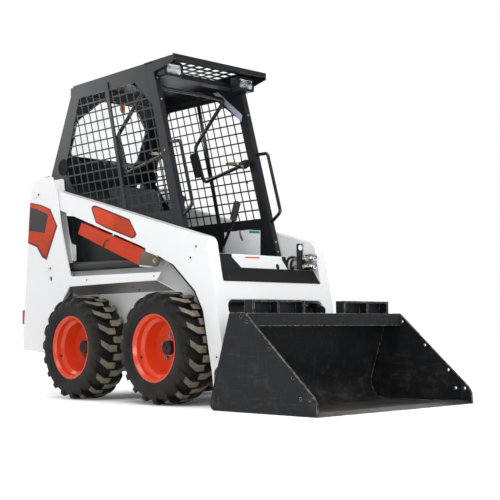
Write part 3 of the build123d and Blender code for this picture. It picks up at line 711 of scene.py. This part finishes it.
# %% Bolt, nut and dimple patterns
patterns = []


def kept_pattern(obj):
    patterns.append(obj)
    return obj


def pattern(name, *stacks):
    """Stacks of (sides, rows of radius and height in millimetres), as one shape."""
    parts = [lofted(f"{name}_{i}",
        [[(x, y, height * MM) for x, y in disc(radius * MM, sides)] for radius, height in rows])
        for i, (sides, rows) in enumerate(stacks)]
    return kept_pattern(joined(name, parts))


hex_bolt = pattern("hex_bolt", (16, [(10.5, -0.2), (10.5, 1.6), (9.8, 2.0)]),
    (6, [(8.0, 1.6), (8.0, 6.6), (7.0, 7.6)]))
wheel_nut = pattern("wheel_nut", (6, [(13.0, 0), (13.0, 13), (11.5, 14.2)]),
    (12, [(6.2, 0), (6.2, 21), (5.2, 22)]))
# a flat dark disc that stands for a hole: painted shade
dimple = pattern("dimple", (12, [(4.6, -0.3), (4.6, 0.7), (4.0, 0.9)]))
print(len(patterns), "patterns")

# %% [markdown]
# ## Tyres
#
# Nineteen lugs stand on each half of the tread, the two halves half a step apart, each lug bent
# back at the shoulder. The lug is lofted through six sections across the tyre and bevelled, then
# Geometry Nodes copy it round the wheel. The carcass is a profile turned about the axle with the
# bead rings that show on the side wall. The lug faces carry dry earth.

# %% Lug and carcass
LUGS = 19
FIRST_LUG = math.radians(6)
LUG_BEVEL = 1.3 * MM
EARTH_RADIUS, EARTH_LEVEL = 0.2745, 0.85        # faces further out that look this much outwards
# distance from the middle, shift backwards, half width, outer and inner radius
LUG_SECTIONS = [(-10, 0, 17.5, 282.4, 252), (37, 0, 18, 282.4, 252), (62, -15, 16.5, 281.6, 250),
    (88, -33, 15.5, 276, 244), (101, -42, 14.5, 263, 236), (107.5, -46, 12.5, 240, 226)]
LUG_FLARE = 3
# distance from the middle and radius, from bead to tread, and the two inner points
CARCASS = [(-96, 171.3), (-101, 175), (-103.5, 183), (-102.5, 186), (-104, 190), (-107, 205),
    (-107.6, 222), (-105, 238), (-99, 248), (-88, 254), (-60, 258), (0, 259.5)]
CARCASS_BORE = [(94, 170.9), (-94, 170.9)]
CARCASS_TURNS = 96
WHEEL_X, WHEEL_Y = 361, 420
WHEELS = {f"{end}_{label}": (x, side)
    for end, x in (("front", WHEEL_X), ("rear", -WHEEL_X)) for side, label in SIDES}


def lug_pattern(name, side):
    rings = []
    for y, shift, half, top, bottom in LUG_SECTIONS:
        foot = half + LUG_FLARE
        corners = ((shift - half, top), (shift + half, top), (shift + foot, bottom),
            (shift - foot, bottom))
        rings.append([(x * MM, side * y * MM, math.sqrt(r * r - x * x) * MM) for x, r in corners])
    return kept_pattern(bevelled(lofted(name, rings), LUG_BEVEL, 2, 25))


def carcass(name):
    profile = CARCASS + [(-y, r) for y, r in reversed(CARCASS[:-1])] + CARCASS_BORE
    angles = [2 * math.pi * t / CARCASS_TURNS for t in range(CARCASS_TURNS)]
    return lofted(name, [[(r * math.sin(a) * MM, y * MM, r * math.cos(a) * MM) for y, r in profile]
        for a in angles], tyre_black, ends=False)


lug_shapes = {side: lug_pattern(f"lug_{label}", side) for side, label in SIDES}


def tyre(place, wheel_x, wheel_side):
    halves = []
    for side, first in ((1, FIRST_LUG), (-1, FIRST_LUG + math.pi / LUGS)):
        half = mesh_object(f"lugs_{place}_{side}", [(0, 0, 0)])
        run_tree(half, ROUND, {"Pattern": lug_shapes[side], "Count": LUGS, "First angle": first,
            "Material": tyre_black})
        half.data.materials.append(lug_earth)
        earth_index = half.data.materials.find(lug_earth.name)
        for face in half.data.polygons:
            out = Vector((face.center.x, 0, face.center.z))
            if out.length > EARTH_RADIUS and face.normal.dot(out.normalized()) > EARTH_LEVEL:
                face.material_index = earth_index
        halves.append(half)
    whole = joined(f"tyre_tread_{place}", [carcass(f"carcass_{place}")] + halves)
    whole.data.transform(Matrix.Translation(at(wheel_x, wheel_side * WHEEL_Y, AXLE_Z)))
    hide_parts(f"tyre_{place}")
    return settle(whole, f"wheel_{place}", 40)


for place, (x, side) in WHEELS.items():
    made = tyre(place, x, side)
    print(made.name, len(made.data.polygons), "faces")

# %% [markdown]
# ## Wheel centres
#
# Each rim is bolted to its hub with five nuts on studs around a dark hub cap, and a valve stem
# stands in the dish. The nuts are copies of one pattern, facing outwards.

# %% Nuts, hub caps and valves
NUT_CIRCLE, NUT_DEPTH, NUTS = 62, 27.5, 5
HUB_SIDES = 32
HUB_CAP = [(33, -18), (36, -14), (36, 6), (34, 11), (20, 13.5), (18, 11.5), (6, 11)]
VALVE = [(7, -6), (7, 2), (4.5, 5), (4, 22), (4.6, 23), (4.6, 33), (3, 34)]
for place, (x, side) in WHEELS.items():
    y, out, body = side * WHEEL_Y, (0, side, 0), f"wheel_{place}"
    nuts = [((x + a, y - side * NUT_DEPTH, AXLE_Z + b), out) for b, a in disc(NUT_CIRCLE, NUTS)]
    copies(f"wheel_nuts_{place}", wheel_nut, nuts, steel_grey, body)
    cap = [[at(x + a, y + side * far, AXLE_Z + b) for a, b in disc(radius, HUB_SIDES)]
        for radius, far in HUB_CAP]
    settle(lofted(f"hub_cap_{place}", cap, cast_dark), body)
    turned_piece(f"valve_stem_{place}", (x - 145, y + side * 38, AXLE_Z - 50), (0.3, side, 0.1),
        VALVE, hose_rubber, body, 16)
print("wheel centres done")

# %% [markdown]
# ## Bolts and plain holes
#
# Fasteners are small, but the eye misses them at once on a machine. Each row of the table names a
# pattern, its size, a finish, the body that carries the row, a record slot and its places: a point
# and the way it faces. Holes that go nowhere are flat dark discs set on the sheet, their darkness
# painted shade.

# %% Fasteners on the chassis, the arms and the door
RIGHT, FORWARD = (0, -1, 0), (1, 0, 0)


def both_sides(places, y):
    """The same (x, z) points on the right and the left, facing outwards."""
    return [((x, side * y, z), (0, side, 0)) for side in (-1, 1) for x, z in places]


FASTENERS = [
    ("bolts_upright", hex_bolt, 0.7, steel_grey, "chassis", "steel_bright",
     both_sides([(-816, 1173), (-690, 733)], 430.2)),
    ("bolts_cab_side", hex_bolt, 0.62, steel_grey, "chassis", "steel_bright",
     both_sides([(235, 1313), (156, 1206), (138, 1308)], 335.2)),
    ("bolts_arm", hex_bolt, 0.5, cast_dark, "lift_arms", "tube_black",
     both_sides([(577, 781), (534, 728), (723, 240)], 417.2)),
    ("bolts_pillar", hex_bolt, 0.5, zinc, "chassis", "steel_bright",
     [(point, FORWARD) for point in
      ((188.2, -316, 1595), (153.6, -316, 1716), (190.3, 316, 1591), (145.1, 316, 1746),
       (401.3, 316, 850), (416.7, 316, 796), (401.3, -316, 850))]),
    ("bolts_tread", hex_bolt, 0.5, cast_dark, "lift_arms", "steel_bright",
     [((690, y, 627), (0.8, 0, 0.6)) for y in (-303, 328)]),
    ("bolts_door", hex_bolt, 0.6, cast_dark, "rear_door", "tube_black",
     [((x, y, z), (-1, 0, lean)) for y in (-300, 300)
      for x, z, lean in ((-1038.4, 360, -0.07), (-1036.4, 800, 0.1))]),
    # painted shade: dark discs for the holes in the rail and the fender
    ("holes_rail", dimple, 1.0, cast_dark, "chassis", "tube_black",
     both_sides([(261, 649), (-330, 652)], UPRIGHT_FACE)),
    ("holes_fender", dimple, 1.1, cast_dark, "chassis", "tube_black",
     both_sides([(79, 600), (132, 581), (-221, 571)], 424)),
]
for name, shape, size, material, body, slot, places in FASTENERS:
    print(copies(name, shape, places, material, body, size).name, len(places))

# %% [markdown]
# ## Pivot pins
#
# At each end of an arm a pin shows as a round boss. It is turned from a short profile, with a
# lubrication hole in its middle.

# %% Pin covers
def pin_cover(name, centre, facing, radius, material, body):
    rows = [(radius, -0.5), (radius, 5), (radius - 1.5, 6.5), (radius * 0.62, 7),
        (radius * 0.55, 5.5), (radius * 0.18, 5.5), (radius * 0.16, 4)]
    turned_piece(name, centre, facing, rows, material, body)


for side, label in SIDES:
    out = (0, side, 0)
    pin_cover(f"pin_arm_{label}", (-849, side * UPRIGHT_FACE, 1179), out, 22, white_paint,
        "chassis")
    pin_cover(f"pin_attach_{label}", (758, side * ARM_FACE, 135), out, 20, steel_grey, "lift_arms")
print("pin covers done")

# %% [markdown]
# ## Lamps
#
# Two work lamps hang under the visor. Each has a bright bowl set back in the housing, a glass with
# a raised middle in front and a black frame around it. The bowl is metal and the glass is a plain
# transmission shader.

# %% Lamp bowls, glasses and frames
LAMP_Y, LAMP_Z = 263.5, 1755.5
CORNER_STEPS = 5
LAMP_PARTS = {  # finish, slot, closed ends, rings of forward, half width, half height and corner
    "lamp_bowl": (lamp_silver, "steel_bright", True,
                  [(222.3, 54, 30, 10), (222.6, 55, 31, 10.5), (224.5, 55, 31, 10.5),
                   (224.4, 46, 23, 9), (223.0, 20, 10, 8)]),
    "lamp_glass": (lens_glass, "window_glass", True,
                   [(225, 47.5, 24.5, 9), (226.6, 47.5, 24.5, 9), (227.4, 44, 21, 8),
                    (227.9, 26, 13, 6)]),
    "lamp_bezel": (cab_black, "paint_black", False,
                   [(222.2, 56.2, 32.2, 12), (227.9, 56.2, 32.2, 12), (227.9, 48, 25, 9),
                    (222.2, 48, 25, 9)]),
}


def rounded_square(half_y, half_z, corner):
    points = []
    for quarter, (sy, sz) in enumerate(((1, 1), (-1, 1), (-1, -1), (1, -1))):
        for i in range(CORNER_STEPS + 1):
            angle = math.pi / 2 * (quarter + i / CORNER_STEPS)
            points.append((sy * (half_y - corner) + corner * math.cos(angle),
                sz * (half_z - corner) + corner * math.sin(angle)))
    return points


for side, label in SIDES:
    for name, (material, slot, ends, rings) in LAMP_PARTS.items():
        layers = [[at(x, side * LAMP_Y + y, LAMP_Z + z) for y, z in rounded_square(*sizes)]
            for x, *sizes in rings]
        settle(lofted(f"{name}_{label}", layers, material, ends), "chassis")
print("lamps done")

# %% [markdown]
# ## Coloured sheets
#
# The orange shapes on the uprights and the arms belong to the machine's look. Each is a thin vinyl
# sheet with a darker border, cut to its outline and mirrored to the other side.

# %% Vinyl sheets
DECALS = {  # body, finish, distance from the middle, thickness, outline
    "decal_arm_edge": ("lift_arms", decal_red, 417.1, 0.6, [
        (-301, 1056), (-281, 1062), (-248, 1055), (38, 960), (101, 876), (91, 860), (60, 855),
        (-180, 931), (-263, 964), (-305, 1042)]),
    "decal_arm_field": ("lift_arms", decal_orange, 417.7, 0.4, [
        (-289, 1049), (-250, 1046), (32, 951), (88, 876), (82, 868), (60, 864), (-180, 941),
        (-256, 971), (-290, 1038)]),
    "decal_upright_edge": ("chassis", decal_red, 430.1, 0.6, [
        (-908, 1134), (-789, 1110), (-693, 1077), (-620, 972), (-729, 783), (-778, 803),
        (-835, 865), (-930, 894)]),
    "decal_upright_field": ("chassis", decal_orange, 430.7, 0.4, [
        (-907, 1126), (-793, 1102), (-703, 1071), (-637, 975), (-733, 806), (-772, 822),
        (-826, 880), (-928, 903)]),
    "decal_upright_patch": ("chassis", decal_dark, 431.1, 0.3, [
        (-906, 1106), (-833, 1090), (-714, 1047), (-728, 1013), (-748, 942), (-917, 966)]),
}
for name, (body, material, y, thickness, outline) in DECALS.items():
    for side, label in SIDES:
        sheet = prism(f"{name}_{label}", outline, side * y, side * (y + thickness), "Y", material)
        settle(sheet, body, angle=0)
print(len(DECALS), "sheets a side")

# %% [markdown]
# ## Hydraulic couplers and their hoses
#
# On the inside of the left arm a black bracket with a round hole holds two quick couplers. Black
# hoses come from behind, bend once and end in plated fittings. The couplers are turned shapes with
# a stepped sleeve, and the hoses are tubes along smooth curves between two fixed ends.

# %% Bracket and couplers
COUPLER_SLEEVE = [(12, 0), (12, 8), (19, 9), (19, 16), (15.5, 17), (15.5, 26), (20.5, 28),
    (20.5, 52), (18.5, 54), (18.5, 58), (20, 60), (20, 72), (17, 75), (17, 84), (12.5, 85),
    (12.5, 70), (4, 69)]
COUPLER_BAND = [(20.9, 0), (21.2, 1), (21.2, 6), (20.9, 7)]
parts = [
    cut_sheet("coupler_plate", [(306, 690), (349, 690), (349, 826), (345, 830), (310, 830),
                                (306, 826)], 566, 574, "X", cab_black, 0.0012),
    cut_sheet("coupler_block", [(300, 688), (346, 688), (346, 766), (300, 766)], 574.2, 603, "X",
              cast_dark, 0.004),
    turned("coupler_plate_hole", (573.6, 328, 809), FORWARD, [(15, 0), (15, 0.8), (13.5, 0.9)],
           white_paint)]
for z in (704, 750):
    parts += [turned(f"coupler_{z}", (603.2, 322, z), FORWARD, COUPLER_SLEEVE, bright_steel),
        turned(f"coupler_cap_{z}", (652, 322, z), FORWARD, COUPLER_BAND, zinc)]
whole = joined("coupler_set", parts)
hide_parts("hydraulic_couplers")
settle(whole, "lift_arms", 30)
print(whole.name)

# %% Hoses between fixed fittings
def hose(name, route, radius, material, body):
    """A tube along a smooth curve through millimetre points."""
    data = bpy.data.curves.new(name, "CURVE")
    data.dimensions = "3D"
    line = data.splines.new("NURBS")
    line.points.add(len(route) - 1)
    for point, place in zip(line.points, route):
        point.co = (*at(*place), 1)
    line.order_u = 3
    line.use_endpoint_u = True
    line.resolution_u = 8
    data.bevel_depth = radius * MM
    data.bevel_resolution = 4
    data.use_fill_caps = True
    curve = linked(name, data)
    mesh = made_mesh(curve)
    bpy.data.objects.remove(curve)
    dress(mesh, material)
    return settle(linked(name, mesh), body)


HOSE_FITTING = [(9.5, -0.5), (9.5, 9), (11, 9.5), (11, 19), (8.2, 20), (8.2, 27)]
HOSE_ROUTES = [
    [(565, 334, 750), (540, 334, 754), (508, 334, 746), (494, 334, 720), (494, 336, 686)],
    [(565, 318, 750), (530, 318, 762), (486, 322, 756), (468, 328, 714), (476, 334, 676)],
    [(565, 322, 706), (545, 322, 708), (522, 325, 704), (514, 330, 688), (518, 334, 668)],
]
for i, route in enumerate(HOSE_ROUTES):
    hose(f"coupler_hose_{i}", route, 7.0, hose_rubber, "lift_arms")
    turned_piece(f"hose_fitting_{i}", route[0], (-1, 0, 0), HOSE_FITTING, zinc, "lift_arms")
print(len(HOSE_ROUTES), "hoses")

# %% [markdown]
# ## The operator's place
#
# Behind the screens sit two foam pads, two control levers with ribbed rubber grips and the pivot
# brackets of the seat bar. The pads are rounded blocks that are remeshed and blown up slightly by
# cloth pressure, as foam fills its cover, and then drawn in along the sewn seams.

# %% Foam pads
PAD_ROUNDING, PAD_MESH = 0.026, 0.006
PAD_MOST = 0.010            # how far pressure may move a point
PAD_CROWN, SEAM_DEPTH, SEAM_WIDTH = 0.008, 0.006, 0.006
CLOTH_FRAMES = 20
BACK_LEAN = 10
BACK_HEIGHT = 200           # the back pad's middle above the backrest's foot


def pad(name, node, size, place, lean, seams):
    """A cushion of a size in metres, standing at a place in millimetres and leaning back."""
    work = bmesh.new()
    bmesh.ops.create_cube(work, size=1)
    bmesh.ops.scale(work, vec=size, verts=work.verts)
    bmesh.ops.bevel(work, geom=work.edges[:], offset=PAD_ROUNDING, segments=3, affect="EDGES")
    mesh = bpy.data.meshes.new(name)
    work.to_mesh(mesh)
    work.free()
    obj = linked(name, mesh)
    tool = obj.modifiers.new("even", "REMESH")
    tool.mode, tool.voxel_size = "VOXEL", PAD_MESH
    applied(obj)
    before = [v.co.copy() for v in obj.data.vertices]
    cloth = obj.modifiers.new("foam", "CLOTH")
    cloth.settings.use_pressure = True
    cloth.settings.uniform_pressure_force = 4
    cloth.settings.effector_weights.gravity = 0
    for frame_number in range(1, CLOTH_FRAMES + 1):
        bpy.context.scene.frame_set(frame_number)
    applied(obj)
    for vertex, start in zip(obj.data.vertices, before):
        moved = vertex.co - start
        if moved.length > PAD_MOST:
            vertex.co = start + moved * (PAD_MOST / moved.length)
    bpy.context.scene.frame_set(1)
    half_x, half_y = size[0] / 2, size[1] / 2
    for vertex in obj.data.vertices:
        co = vertex.co
        crown = (1 - (co.x / half_x) ** 2) * (1 - (co.y / half_y) ** 2)
        co.z += PAD_CROWN * max(0, crown) * (1 if co.z > 0 else 0)
        for axis, where in seams:
            gap = (co.x if axis == "X" else co.y) - where
            if co.z > 0:
                co.z -= SEAM_DEPTH * math.exp(-(gap / SEAM_WIDTH) ** 2)
    tool = obj.modifiers.new("smooth", "SUBSURF")
    tool.levels = tool.render_levels = 1
    applied(obj)
    turn = Matrix.Rotation(math.radians(lean), 4, "Y")
    obj.data.transform(Matrix.Translation(at(*place)) @ turn)
    dress(obj.data, vinyl_black)
    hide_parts(node)
    return settle(obj, "chassis", 60)


pad("seat_pad", "seat_cushion", (0.385, 0.405, 0.062), (-225, 0, 797), 0,
    [("Y", -0.12), ("Y", 0.12), ("X", 0.08)])
back_centre = (-400 - BACK_HEIGHT * math.sin(math.radians(BACK_LEAN)), 0,
    841.7 + BACK_HEIGHT * math.cos(math.radians(BACK_LEAN)))
pad("back_pad", "seat_back", (0.375, 0.375, 0.070), back_centre, 90 - BACK_LEAN,
    [("Y", -0.115), ("Y", 0.115), ("X", 0.06)])
print("pads done")

# %% Lever grips and seat bar brackets
RIBS, RIB_STEP = 9, 10.5
GRIP_ROWS = [(17, 1), (19.6, 4)]
for i in range(RIBS):
    GRIP_ROWS += [(radius, along + RIB_STEP * i)
        for radius, along in ((20.4, 8), (20.4, 13), (18.6, 14.5), (18.6, 16.5))]
GRIP_ROWS += [(20.0, 104), (15, 109.5), (6, 110.5)]
BRACKET = [(128, 1318), (206, 1330), (238, 1312), (236, 1290), (205, 1276), (150, 1283)]
LATCH_ROWS = [(5, 0), (10, 2), (10.5, 30), (12, 32), (12, 44), (10.5, 46), (10.5, 84), (7, 88)]
for side, label in SIDES:
    turned_piece(f"lever_grip_{label}", (180, side * 200, 981), (0.35, 0, 0.94), GRIP_ROWS,
        grip_rubber, "chassis", angle=50)
    foot = (62, side * 280, 1321)
    parts = [
        cut_sheet(f"bar_bracket_{label}", BRACKET, side * 277, side * 283, "Y", cab_black, 0.0015),
        turned(f"bar_latch_{label}", foot, (0.99, 0, -0.13), LATCH_ROWS, zinc),
        turned(f"bar_nose_{label}", foot, (-0.96, 0, 0.2), [(6, -1), (6, 14), (2.5, 27)],
               cab_black),
        turned(f"bar_nut_{label}", (186, side * 276.8, 1291), (0, -side, 0),
               [(11, -0.2), (11, 6), (9, 7)], steel_grey, 6),
    ]
    settle(joined(f"bar_bracket_set_{label}", parts), "seat_bar")
print("levers and brackets done")

# %% [markdown]
# ## Small plates and trims
#
# What is left are thin sheets and small turned shapes: single ones on the left wall, the arm
# support, the rear window and the door, some on the leaning toe panel, and pairs that are mirrored
# to both sides. Sheets have softened edges.

# %% Single plates
PLATES = [  # name, outline, low, high, axis, finish, body, slot, edge width
    ("inner_plate", [(-33, 936), (170, 936), (266, 925), (264, 776), (-33, 776)], 327.6, 328.9, "Y",
     decal_white, "chassis", "paint_white", 0.0008),
    ("inner_stripe", [(176, 932), (262, 922), (262, 908), (176, 918)], 327.0, 327.6, "Y",
     stripe_teal, "chassis", "paint_white", 0.0002),
    ("inner_grey", [(92, 934), (104, 934), (112, 905), (128, 880), (116, 876), (100, 900)], 326.6,
     327.6, "Y", steel_grey, "chassis", "steel_bright", 0.0003),
    ("support_bracket", [(116, 714), (158, 786), (252, 757), (287, 741), (296, 724), (284, 700),
                         (262, 695)], -417.2, -421.2, "Y", olive_brown, "lift_arms", "engine_grey",
     0.0012),
    ("window_tab", [(17, 1752), (49, 1746), (52, 1712), (50, 1690), (43, 1680), (37, 1694),
                    (24, 1688), (15, 1712)], -621, -619, "X", tab_orange, "chassis", "paint_orange",
     0.0006),
]
for row in PLATES:
    plate(*row)
turned_piece("support_nut", (262, -421, 727), RIGHT,
    [(14, -0.3), (14, 2), (10.5, 2.2), (10.5, 9), (8, 10), (5.5, 10), (5.5, 14), (4, 15)], zinc,
    "lift_arms", 12)
turned_piece("support_pin", (-104, -402, 884), RIGHT, [(9, 0), (9, 16), (7.5, 19), (4, 19)],
    bright_steel, "lift_arms", 20)
hose("support_clip", [(-140, -412, 862), (-158, -423, 862), (-172, -424, 850), (-186, -423, 836),
    (-200, -412, 822)], 3.0, hose_rubber, "lift_arms")
latch = cut_sheet("door_latch", [(262, 812), (308, 812), (308, 868), (262, 868)], -1030, -1039, "X",
    cast_dark, 0.003)
grip = cut_sheet("door_latch_grip", [(270, 824), (300, 824), (300, 840), (270, 840)], -1038.5,
    -1043, "X", steel_grey, 0.0015)
settle(joined("door_latch_set", [latch, grip]), "rear_door")
print("single plates done")

# %% Sheets on the leaning toe panel
def toe_front(z):
    """The panel's face: nearly upright below 600 mm, leaning back above."""
    return 540 - 4 * (z - 573) / 27 if z < 600 else 536 - 36 * (z - 600) / 162


TOE_SHEETS = [  # name, (y, z) outline, lift, thickness, finish, slot
    ("toe_foot_plate", [(-288, 601), (40, 601), (-45, 680), (-112, 744), (-112, 761), (-288, 761)],
     0.4, 1.4, cab_black, "paint_black"),
    ("toe_cover", [(40, 601), (288, 601), (288, 690), (256, 740), (256, 761), (-110, 761),
                   (-110, 744), (-43, 680)], 0.4, 1.0, white_paint, "paint_white"),
    ("toe_corner", [(288, 693), (288, 761), (258, 761), (258, 741)], 0.4, 0.8, cab_black,
     "paint_black"),
    # painted shade: a dark oval disc for the hole in the toe panel
    ("toe_hole", [(213 + a, 705 + b * 1.25) for a, b in disc(12.5, 20)], 1.5, 0.3, cast_dark,
     "tube_black"),
    ("toe_stripe", [(-18, 743), (88, 744), (88, 752), (-18, 751)], 1.5, 0.3, decal_orange,
     "paint_orange"),
]
for name, outline, lift, thick, material, slot in TOE_SHEETS:
    sheet = lofted(name, [[at(toe_front(z) + lift + t, y, z) for y, z in outline]
        for t in (0, thick)], material)
    settle(bevelled(sheet, 0.0002, 1), "chassis")
print(len(TOE_SHEETS), "sheets on the toe panel")

# %% Pairs of plates, pipes and covers
PAIRED_PLATES = [   # name, outline, inner and outer distance, finish, body, slot, edge width
    # painted highlight: a pale strip along each front gusset's edge
    ("gusset_strip", [(-90, 1761), (-48, 1761), (158, 1594), (149, 1556)], 299.8, 297.6,
     painted_highlight_strip, "chassis", "steel_bright", 0.0006),
    ("reflector", [(-752, 1265.4), (-712, 1265.6), (-712, 1271), (-750, 1272)], 423, 429, lamp_red,
     "chassis", "lamp_red", 0.001),
    # painted shade: a dark band behind the arm leg's rear edge, where the gap lies in shadow
    ("leg_band", [(370.1, 708.2), (394.8, 692.4), (556.7, 558.8), (613.8, 461.6), (630.6, 390),
                  (647.4, 328.8), (656.6, 299.4), (658.3, 299.8), (623.9, 465.6), (564.1, 565.2),
                  (399.4, 700), (371.5, 711.7)], 416.4, 404.8, step_grip, "lift_arms",
     "paint_black", 0.0008),
    ("frame_shield", [(-700, 1046), (-561, 1010), (-490, 769), (-640, 769)], 325, 327, cab_black,
     "chassis", "paint_black", 0.0008),
    ("side_filler", [(-706, 1045), (-686, 1040), (-616, 878), (-570, 863), (-566, 776), (-586, 771),
                     (-661, 795)], 335.6, 337.6, white_paint, "chassis", "paint_white", 0.0005),
]
CORNER_COVER = [(49, -0.4), (49, 1.4), (46, 2.4), (42, 1.2), (20, 1.0), (6, 2.2)]
# painted shade inside the tie-down hole
TIE_DOWN_BACK = [(19, 0), (19, 0.9), (17, 1.1)]         # darkens the tie-down hole from inside
# painted shade: a dark sheet behind the slot of the front crossmember
SLOT_BACK_SHEET = [(130, 422), (338, 422), (338, 504), (130, 504)]
BAR_PAD = [(-219, 1267), (-177, 1281), (-226, 1423), (-268, 1410)]
PIPE_Y = 312
PIPE_ENDS = (((-555, 1012), (-484, 762)), ((-597, 1020), (-522, 762)))     # top and foot, (x, z)
for side, label in SIDES:
    for name, outline, low, high, material, body, slot, width in PAIRED_PLATES:
        plate(f"{name}_{label}", outline, side * low, side * high, "Y", material, body, slot, width)
    turned_piece(f"corner_cover_{label}", (-705, side * 335, 1330), (0, side, 0), CORNER_COVER,
        step_grip, "chassis")
    turned_piece(f"tie_down_back_{label}", (-914, side * 420.6, 673), (0, side, 0), TIE_DOWN_BACK,
        step_grip, "chassis")
    plate(f"slot_back_{label}", [(side * y, z) for y, z in SLOT_BACK_SHEET], 640.5, 643.2, "X",
        cast_dark, "lift_arms", "paint_black")
    cushion = cut_sheet(f"bar_pad_{label}", BAR_PAD, side * 260, side * 297.5, "Y", pad_foam, 0.009,
        3)
    settle(cushion, "seat_bar", 60)
    for i, (top, low) in enumerate(PIPE_ENDS):
        route = [top, (top[0] + 8, 950), (low[0] - 18, 830), low]
        hose(f"frame_pipe_{label}_{i}", [(x, side * PIPE_Y, z) for x, z in route], 5.0, tube_black,
            "chassis")
print("pairs done")

# %% The slot's painted shade
# the slot's inside is dark from painted shade: a thin dark lining
SLOT_HALF, SLOT_LOW, SLOT_HIGH, SLOT_CORNER = 341, 420.5, 505.5, 36
SLOT_INNER, SLOT_BACK = 72, 644
SHADE_LINING = 1.6
NO_TOUCH = 0.9995           # keeps the lining's outside off the crossmember


def slot_shade_lining(side, label):
    """Half of the rounded slot in the front crossmember, lined with a thin dark band of painted
    shade.
    """
    line = [(SLOT_INNER, SLOT_HIGH)]
    for centre_z, start in ((SLOT_HIGH - SLOT_CORNER, 90), (SLOT_LOW + SLOT_CORNER, 0)):
        for i in range(9):
            angle = math.radians(start - 90 * i / 8)
            line.append((SLOT_HALF - SLOT_CORNER + SLOT_CORNER * math.cos(angle),
                centre_z + SLOT_CORNER * math.sin(angle)))
    line.append((SLOT_INNER, SLOT_LOW))
    middle_z = (SLOT_LOW + SLOT_HIGH) / 2
    rings = []
    for y, z in line:
        inset_y = y - SHADE_LINING * max(0, y - SLOT_HALF + SLOT_CORNER) / SLOT_CORNER
        inset_z = z - SHADE_LINING * (z - middle_z) / (SLOT_HIGH - middle_z)
        front = 768 - 0.2 * (z - 260) - 2
        rings.append([at(front, side * y * NO_TOUCH, z), at(SLOT_BACK, side * y * NO_TOUCH, z),
            at(SLOT_BACK, side * inset_y, inset_z), at(front, side * inset_y, inset_z)])
    settle(lofted(f"slot_lining_{label}", rings, cab_black), "lift_arms")


for side, label in SIDES:
    slot_shade_lining(side, label)
print("linings done")

# %% [markdown]
# ## Finish
#
# The patterns have done their work and go.

# %% Clear up
for obj in patterns:
    bpy.data.objects.remove(obj)
